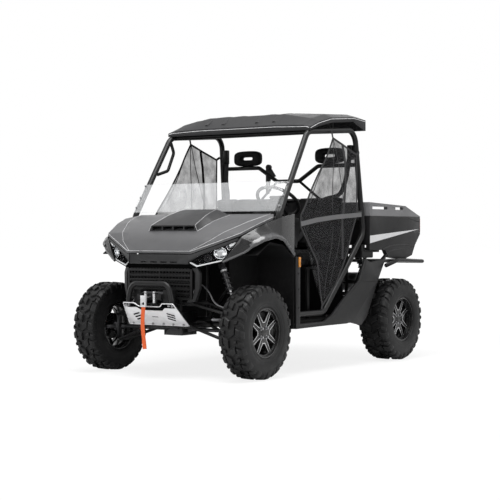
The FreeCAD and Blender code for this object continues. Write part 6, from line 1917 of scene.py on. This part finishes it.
@dataclass
class Cabin:
    """Cage, roof, screen, seats, dashboard, wheel, nets and small fittings."""

    belt_width: float = 0.044
    pad_centre: tuple = (0.41, 1.485, 1.702)
    pad_outer: tuple = (0.140, 0.065)
    pad_slot: tuple = (0.052, 0.012)
    pad_depth: float = 0.029

    def harness(self) -> None:
        """Seat belts from the reels down over the seat backs, one on each side."""
        for side, sign in SIDES.items():
            path = [at(0.612 * sign, 1.452, 1.665), at(0.600 * sign, 1.425, 1.50),
                    at(0.560 * sign, 1.400, 1.372), at(0.47 * sign, 1.268, 1.335),
                    at(0.42 * sign, 1.238, 1.20), at(0.30 * sign, 1.180, 1.02),
                    at(0.24 * sign, 1.125, 0.965)]
            path = Form.bent(path, 0.05)
            band = Form.strap("belt", path, self.belt_width, 0.0018, Vector((0, -1, 0.35)))
            belt = Shelf.put(f"seat_belt_{side}", band, Finish.HEM, "net")
            length = sum((after - before).length for before, after in zip(path, path[1:]))

    def gauges(self) -> Mesh:
        """Instrument hood, a screen bezel and switches on the dashboard.

        Returns:
            One mesh.
        """
        parts = [Form.slab("pod", at(0.275, 0.560, 1.178), at(0.445, 0.632, 1.232), 0.012),
                 Form.slab("console", at(-0.11, 0.618, 0.985), at(0.11, 0.652, 1.150), 0.010)]
        for number in range(4):
            x = -0.075 + number * 0.05
            parts.append(Form.slab("switch", at(x - 0.017, 0.648, 1.092),
                                   at(x + 0.017, 0.660, 1.122), 0.003))
        parts.append(Form.slab("grip", at(-0.60, 0.632, 1.105), at(-0.30, 0.668, 1.130), 0.009))
        return Form.join("gauges", parts)

    def head_pads(self) -> Mesh:
        """Padded rings with a slot through them, one behind each seat.

        Returns:
            Both sides in one mesh.
        """
        def squared(value: float, power: float) -> float:
            """The value raised to a power with its sign kept."""
            return math.copysign(abs(value) ** power, value)

        centre = at(*self.pad_centre)
        points = []
        around, section = 56, 14
        for step in range(around):
            turn = math.tau * step / around
            ways = (math.cos(turn), math.sin(turn))
            outer = [squared(w, 0.55) * r for w, r in zip(ways, self.pad_outer)]
            inner = [squared(w, 0.50) * r for w, r in zip(ways, self.pad_slot)]
            for part in range(section):
                lean = math.tau * part / section
                share = 0.5 - 0.5 * squared(math.cos(lean), 0.7)
                deep = self.pad_depth * squared(math.sin(lean), 0.7)
                points.append(centre + Vector((outer[0] + (inner[0] - outer[0]) * share, deep,
                                               outer[1] + (inner[1] - outer[1]) * share)))
        ring = Form.mesh("pad", points, Form.belts(around, section, True))
        return Form.both("pads", Seat.inflated(ring, 0.005, 0.005))

    def bracket(self) -> Mesh:
        """Gusset with a round latch under the right bend of the headrest bar.

        Returns:
            One mesh.
        """
        outline = [(-0.222, 1.395), (-0.188, 1.395), (-0.172, 1.530), (-0.118, 1.545),
                   (-0.165, 1.610), (-0.222, 1.632)]
        plate = Form.plate("gusset", [at(x, 1.476, z) for x, z in outline],
                           Vector((0, 0.008, 0)), 0.002)
        latch = Form.lathe("latch", [(-0.020, 0.004), (-0.020, 0.016), (-0.012, 0.024),
                                     (0.012, 0.024), (0.020, 0.016), (0.020, 0.004)], 28)
        latch.transform(Matrix.Translation(at(-0.192, 1.478, 1.622))
                        @ Matrix.Rotation(math.pi / 2, 4, "Z"))
        return Form.join("bracket", [plate, Form.tidy(latch)])

    def wheel_trim(self) -> Mesh:
        """Padded hub cover of the steering wheel, square to its column.

        Returns:
            The cover.
        """
        axis = Vector((0, 0.6168, 0.7871))
        centre = at(0.360, 0.770, 1.294) + axis * 0.034
        pad = Form.slab("hub", Vector((-0.062, -0.048, -0.010)), Vector((0.062, 0.060, 0.012)),
                        0.009)
        pad.transform(Matrix.Translation(centre) @ upright(axis))
        return pad

    def dress(self) -> None:
        """Put the cabin's pieces on their bodies."""
        Shelf.dress("roll_cage", "cage_tubes", Finish.CAGE, "black_steel", sharp=40.0)
        Shelf.dress("headrest_bar", "headrest_tube", Finish.CAGE, "black_steel", sharp=40.0)
        Shelf.dress("roof", "roof_panel", Finish.ROOF, "grey_body", 0.004, 30.0, fold=0.020)
        # The roof's edge line in the light finish: a painted highlight.
        Shelf.put("roof_rim", self.roof_rim(), Finish.CREASE, "grey_body")
        Shelf.dress("windshield", "half_screen", Finish.SCREEN, "screen", 0.001)
        Shelf.dress("cab_floor", "floor_tub", Finish.LINER, "black_plastic", 0.002)
        Shelf.dress("dashboard", "dash_shell", Finish.BLACK_PLASTIC, "black_plastic", 0.003)
        Shelf.dress("seat_base", "seat_stand", Finish.BLACK_PLASTIC, "black_plastic", 0.002)
        wall = Form.slab("wall", at(-0.615, 1.334, 0.780), at(0.615, 1.339, 1.060), 0.002)
        wing = Form.slab("wing", at(0.590, 1.336, 0.780), at(0.668, 1.345, 1.050), 0.002)
        wall = Form.join("bulkhead", [wall, Form.both("wings", wing)])
        Shelf.put("seat_bulkhead", wall, Finish.LINER, "black_plastic")
        pads = Shelf.put("head_pads", self.head_pads(), Finish.SEAT, "seat_fabric", ("headrests",),
                         60)
        Shelf.dress("belt_reels", "reel_covers", Finish.BLACK_PLASTIC, "black_plastic", 0.006)
        Shelf.dress("grab_handle", "grab_handle_bar", Finish.BLACK_PLASTIC, "black_plastic",
                    sharp=40.0)
        Shelf.dress("pedals", "foot_pedals", Finish.FRAME_PAINT, "black_steel", 0.003)
        Shelf.dress("steering_wheel", "handwheel_rim", Finish.BLACK_PLASTIC, "black_plastic",
                    sharp=40.0)
        Shelf.put("handwheel_hub", self.wheel_trim(), Finish.BLACK_PLASTIC, "black_plastic",
                  body="handwheel")
        Shelf.put("dash_fittings", self.gauges(), Finish.BLACK_PLASTIC, "black_plastic")
        Seat().dress()
        self.harness()
        for side in SIDES:
            SideNet(side).dress()
        self.fix_screen()
        Shelf.put("roof_ribs", self.roof_ribs(), Finish.ROOF, "grey_body")
        Shelf.put("bar_bracket", self.bracket(), Finish.FRAME_PAINT, "black_steel")

    def fix_screen(self) -> None:
        """Screws that hold the half screen to the front pillars."""
        slope = (0.735 - 0.262) / (1.846 - 1.133)
        facing = Vector((0, -1, slope)).normalized()
        spots = [(at(0.684 * sign, 0.262 + slope * (z - 1.133), z) + facing * 0.0305, facing)
                 for z in (1.25, 1.33, 1.425) for sign in SIDES.values()]
        Shelf.put("screen_screws", fasteners(spots, 0.006, 0.005, Finish.STEEL), Finish.STEEL,
                  "bare_metal")

    def roof_rim(self) -> Mesh:
        """Fine line in a light finish round the front and sides of the roof: a painted highlight
        along its edge.

        Returns:
            Both sides in one mesh.
        """
        side = [(0.6895, 0.738, 1.872), (0.6905, 0.865, 1.918), (0.6905, 1.050, 1.961),
                (0.6905, 1.400, 1.989), (0.6905, 1.583, 1.974)]
        path = [at(0, 0.7345, 1.892), at(0.36, 0.7345, 1.892), at(0.66, 0.7345, 1.882)]
        path += [at(*place) for place in side]
        return Form.both("rim", Form.sweep("edge", Form.bent(path, 0.02), 0.0026, 8))

    def roof_ribs(self) -> Mesh:
        """Raised mouldings on the roof's front slope and top.

        Returns:
            One mesh.
        """
        ribs = []
        for x in (-0.30, -0.15, 0.15, 0.30):
            path = [at(x * 1.10, 0.775, 1.936), at(x * 1.05, 0.865, 1.996),
                    at(x, 1.05, 2.0215), at(x, 1.36, 2.0275)]
            path = Form.bent(path, 0.05)
            ribs.append(Form.sweep("rib", path, 0.018, 12, 0.30, Vector((0, 0, 1))))
        return Form.join("ribs", ribs)


@dataclass
class Sides:
    """Fenders, liners, side panels and marker lamps."""

    lip_radius: float = 0.0095
    crown_radius: float = 0.030
    crown_start: int = 18
    lip_line: tuple = (
        (0.508, -0.160, 0.854), (0.538, -0.147, 0.868), (0.575, -0.127, 0.887),
        (0.612, -0.106, 0.906), (0.652, -0.084, 0.925), (0.690, -0.058, 0.961),
        (0.717, -0.040, 0.979), (0.732, -0.006, 0.994), (0.749, 0.024, 1.012),
        (0.753, 0.086, 1.021), (0.760, 0.150, 1.032), (0.757, 0.190, 1.029),
        (0.756, 0.231, 1.020), (0.754, 0.272, 1.009), (0.751, 0.298, 0.995),
        (0.749, 0.324, 0.976), (0.745, 0.351, 0.961), (0.744, 0.376, 0.940),
        (0.743, 0.402, 0.922), (0.742, 0.428, 0.899))

    def lips(self) -> Mesh:
        """Rounded lips and broader crowns along the edges of the front flares, lighter than the
        fenders: a painted highlight on the flares.

        Returns:
            Both sides in one mesh.
        """
        path = Form.bent([at(*place) for place in self.lip_line], 0.02, 3)
        lip = Form.sweep("lip", path, self.lip_radius, 16)
        crown = [place + Vector((-0.012, 0.0, 0.018)) for place in path[self.crown_start:]]
        band = Form.sweep("crown", crown, self.crown_radius, 20, 0.36,
                          Vector((0.62, -0.15, 0.77)))
        return Form.both("lips", Form.join("half", [lip, band]))

    def dress(self) -> None:
        """Put the pieces of both sides on the chassis."""
        skins = Shelf.dress("front_fenders", "fender_skins", Finish.FENDER, "dark_body", 0.003,
                            50.0, fold=0.030)
        # Faces that look down or inwards take the darker liner finish: painted shade under the
        # flares and inside the arches.
        Shelf.paint(skins, Finish.LINER, lambda centre, normal: (
            normal.z < -0.25 or normal.x * centre.x < -0.1))
        # Lips and crowns in the lighter finish: a painted highlight along the flares.
        Shelf.put("flare_lips", self.lips(), Finish.CROWN, "dark_body", sharp=60)
        Shelf.dress("wheel_liners", "liner_sheets", Finish.LINER, "black_plastic", 0.002)
        Shelf.dress("side_panels", "sill_panels", Finish.BODY, "dark_body", 0.003)
        Shelf.dress("marker_lamps", "marker_lenses", Finish.AMBER, "amber", 0.003)
        spots = [(at(0.7425 * sign, 0.49, z), Vector((sign, 0, 0)))
                 for z in (0.50, 0.64, 0.76) for sign in SIDES.values()]
        Shelf.put("panel_screws", fasteners(spots, 0.005, 0.003, Finish.FRAME_PAINT),
                  Finish.FRAME_PAINT, "black_steel")
        cap = Form.join("cap", [
            Form.slab("box", at(0.590, 1.505, 0.862), at(0.704, 1.690, 0.922), 0.010),
            Form.slab("neck", at(0.600, 1.505, 0.900), at(0.700, 1.565, 0.972), 0.012)])
        Shelf.put("intake_caps", Form.both("caps", cap), Finish.BLACK_PLASTIC, "black_plastic")
        sill = Form.slab("sill", at(0.640, 0.470, 0.340), at(0.690, 1.300, 0.400), 0.002)
        Shelf.put("sill_linings", Form.both("linings", sill), Finish.LINER, "black_plastic")


@dataclass
class Bed:
    """Cargo box with its mouldings, stripes, gate and lamps."""

    face: float = 0.735

    def line(self, path: list, radius: float) -> Mesh:
        """A raised moulding along a run of (length, height) pairs on the box's side."""
        return Form.sweep("moulding", Form.bent([at(self.face, y, z) for y, z in path], 0.05),
                          radius, 10, 0.55, Vector((1, 0, 0)))

    def dress(self) -> None:
        """Put the bed's pieces on their bodies."""
        Shelf.dress("cargo_bed", "bed_box", Finish.BED, "dark_body", 0.005)
        Shelf.dress("tailgate", "gate_panel", Finish.BED, "dark_body", 0.004)
        Shelf.dress("tail_lamps", "tail_lenses", Finish.RED, "red_lens", 0.002)
        stripe = [(1.580, 0.982), (2.430, 1.1005), (1.580, 1.044)]
        wedge = Form.plate("wedge", [at(self.face - 0.0005, y, z) for y, z in stripe],
                           Vector((0.0011, 0, 0)))
        Shelf.put("bed_stripes", Form.both("stripes", wedge), Finish.STRIPE, "silver_plate",
                  body="bed")
        lines = Form.join("lines", [
            self.line([(1.79, 0.932), (1.90, 0.955), (2.10, 0.968), (2.25, 0.965)], 0.006),
            self.line([(1.86, 0.895), (1.93, 0.918), (2.02, 0.927), (2.24, 0.929),
                       (2.33, 0.95)], 0.004),
            self.line([(1.58, 1.205), (2.20, 1.200), (2.445, 1.165)], 0.005)])
        Shelf.put("bed_mouldings", Form.both("mouldings", lines), Finish.BED, "dark_body",
                  body="bed")
        ribs = []
        for number in range(9):
            x = -0.60 + number * 0.15
            ribs.append(Form.slab("rib", at(x - 0.012, 1.63, 0.9895),
                                  at(x + 0.012, 2.40, 0.9935), 0.0012))
        Shelf.put("bed_floor_ribs", Form.join("ribs", ribs), Finish.BED, "dark_body", body="bed")
        panel = Form.slab("pan", at(-0.60, 2.4515, 1.03), at(0.60, 2.4555, 1.17), 0.0018)
        latch = Form.slab("latch", at(-0.06, 2.452, 1.175), at(0.06, 2.462, 1.197), 0.004)
        Shelf.put("gate_pressing", Form.join("press", [panel, latch]), Finish.BED, "dark_body",
                  body="gate")


@dataclass
class Running:
    """Frame, power train and steering parts that show round the wheels."""

    def hoses(self) -> Mesh:
        """Brake hoses from the frame out along the front arms.

        Returns:
            One mesh.
        """
        parts = []
        for sign in SIDES.values():
            path = [at(0.168 * sign, -0.06, 0.62), at(0.24 * sign, -0.085, 0.70),
                    at(0.33 * sign, -0.09, 0.64), at(0.38 * sign, -0.085, 0.545),
                    at(0.47 * sign, -0.07, 0.512)]
            parts.append(Form.sweep("hose", Form.bent(path, 0.06, 8), 0.0055, 10))
        return Form.join("hoses", parts)

    def dress(self) -> None:
        """Put the running gear's pieces on their bodies."""
        plain = (
            ("main_frame", "frame_rails", Finish.FRAME_PAINT, "black_steel"),
            ("front_tower", "front_tower_tubes", Finish.FRAME_PAINT, "black_steel"),
            ("rear_tower", "rear_tower_tubes", Finish.FRAME_PAINT, "black_steel"),
            ("front_arms", "front_arm_tubes", Finish.FRAME_PAINT, "black_steel"),
            ("rear_arms", "rear_arm_tubes", Finish.FRAME_PAINT, "black_steel"),
            ("front_drive", "front_drive_case", Finish.CAST, "black_steel"),
            ("rear_drive", "rear_drive_case", Finish.CAST, "black_steel"),
            ("muffler", "muffler_drum", Finish.STEEL, "bare_metal"),
            ("steering_gear", "steering_column", Finish.FRAME_PAINT, "black_steel"),
            ("steering_rack", "rack_rods", Finish.STEEL, "bare_metal"),
            ("knuckle_left", "knuckle_casting_left", Finish.CAST, "bare_metal"),
            ("knuckle_right", "knuckle_casting_right", Finish.CAST, "bare_metal"),
            ("rear_hub_carriers", "rear_carrier_castings", Finish.CAST, "bare_metal"),
            ("rear_bumper", "rear_bumper_bar", Finish.CAGE, "black_steel"),
        )
        for node, name, finish, slot in plain:
            Shelf.dress(node, name, finish, slot, sharp=40.0)
        Shelf.dress("engine_block", "engine_case", Finish.CAST, "engine_metal", 0.006)
        Shelf.put("brake_hoses", self.hoses(), Finish.HOSE, "bare_metal", sharp=60)
        Damper("front_damper", "front_shocks", 0.0, 0.536, 0.4534).dress()
        Damper("rear_damper", "rear_shocks", WHEELBASE, 0.505, 0.4611).dress()


@dataclass
class Studio:
    """Camera, floor and lamps."""

    floor_size: float = 60.0
    floor_glow: float = 1.03
    surround_light: float = 0.26
    azimuth: float = 34.6644
    elevation: float = 0.6197
    place: tuple = (6.3602, -9.3218, 1.0491)
    focal: float = 99.731

    def camera(self) -> None:
        """The photograph's viewpoint."""
        data = bpy.data.cameras.new("camera")
        data.lens = self.focal
        data.sensor_width = 36.0
        camera = placed("camera", data)
        turn, rise = math.radians(self.azimuth), math.radians(self.elevation)
        back = Vector((math.sin(turn) * math.cos(rise), -math.cos(turn) * math.cos(rise),
                       math.sin(rise)))
        camera.location = self.place
        aimed(camera, -back)
        bpy.context.scene.camera = camera

    def floor(self) -> None:
        """A pale floor that keeps the vehicle's shadow."""
        size = self.floor_size
        mesh = Form.mesh("floor", [(-size, -size, 0), (size, -size, 0), (size, size, 0),
                                   (-size, size, 0)], [(0, 1, 2, 3)])
        piece = placed("floor", mesh)
        graph = Graph("pale_floor")
        graph.shade(Base_Color=(0.9, 0.9, 0.9), Roughness=0.8)
        glow = graph.add("ShaderNodeEmission", {}, {
            "Color": (1, 1, 1, 1), "Strength": self.floor_glow})
        rays = graph.add("ShaderNodeLightPath", {}, (), "Is Camera Ray")
        x, y, _ = graph.axes()
        away = graph.step(x * x + y * y, 4.0, 20.0, 0.80, 1.0)
        both = graph.add("ShaderNodeMixShader", {}, [rays * away, graph.surface.outputs[0], glow])
        graph.set(graph.tree.nodes["Material Output"].inputs[0], both)
        mesh.materials.append(graph.material)

    def lamps(self) -> None:
        """Soft light from above and from all sides."""
        for name, place, target, size, power in (
                ("top", (0.8, -1.2, 5.6), (0, -0.2, 1), 4.0, 430.0),
                ("front", (1.0, -7.5, 2.6), (0, 0, 1.0), 4.0, 110.0),
                ("left", (7.0, 1.0, 3.4), (0, 0.4, 1.0), 3.0, 95.0),
                ("right", (-7.0, -3.5, 3.0), (0, 0, 1.0), 4.0, 110.0),
                ("rear", (-2.0, 7.0, 4.0), (0, 0, 1.2), 4.0, 90.0)):
            data = bpy.data.lights.new(name, "AREA")
            data.size = size
            data.energy = power
            lamp = placed(name, data)
            lamp.location = place
            aimed(lamp, Vector(target) - Vector(place))

    def surround(self) -> None:
        """A white world that lights the vehicle less than it is seen."""
        world = bpy.data.worlds.new("surround")
        bpy.context.scene.world = world
        world.use_nodes = True
        tree = world.node_tree
        paths = tree.nodes.new("ShaderNodeLightPath")
        seen = paths.outputs["Is Camera Ray"]
        for other in ("Is Glossy Ray", "Is Transmission Ray"):
            either = tree.nodes.new("ShaderNodeMath")
            either.operation = "MAXIMUM"
            tree.links.new(seen, either.inputs[0])
            tree.links.new(paths.outputs[other], either.inputs[1])
            seen = either.outputs[0]
        strength = tree.nodes.new("ShaderNodeMapRange")
        strength.inputs["To Min"].default_value = self.surround_light
        strength.inputs["To Max"].default_value = 1.0
        tree.links.new(seen, strength.inputs["Value"])
        ground = tree.nodes["Background"]
        ground.inputs["Color"].default_value = (1, 1, 1, 1)
        tree.links.new(strength.outputs[0], ground.inputs["Strength"])
        bpy.context.scene.view_settings.view_transform = "Standard"

    def dress(self) -> None:
        """Set up the whole studio."""
        self.camera()
        self.floor()
        self.lamps()
        self.surround()


def wheels() -> list[Wheel]:
    """The four wheels.

    Returns:
        Front before rear, left before right.
    """
    made = []
    for end, y, width in (("front", 0.0, 0.210), ("rear", WHEELBASE, 0.260)):
        for side, sign in SIDES.items():
            made.append(Wheel(f"{end}_{side}", f"wheel_{end}_{side}",
                              at(HALF_TRACK * sign, y, TYRE_RADIUS), width, sign))
    return made


def main() -> None:
    """Build every sub-assembly in order."""
    logging.basicConfig(level=logging.INFO, format="%(message)s")
    Studio().dress()
    for wheel in wheels():
        wheel.dress()
    Running().dress()
    Nose().dress()
    FrontGuard().dress()
    Sides().dress()
    Cabin().dress()
    Bed().dress()


if __name__ == "__main__":
    main()
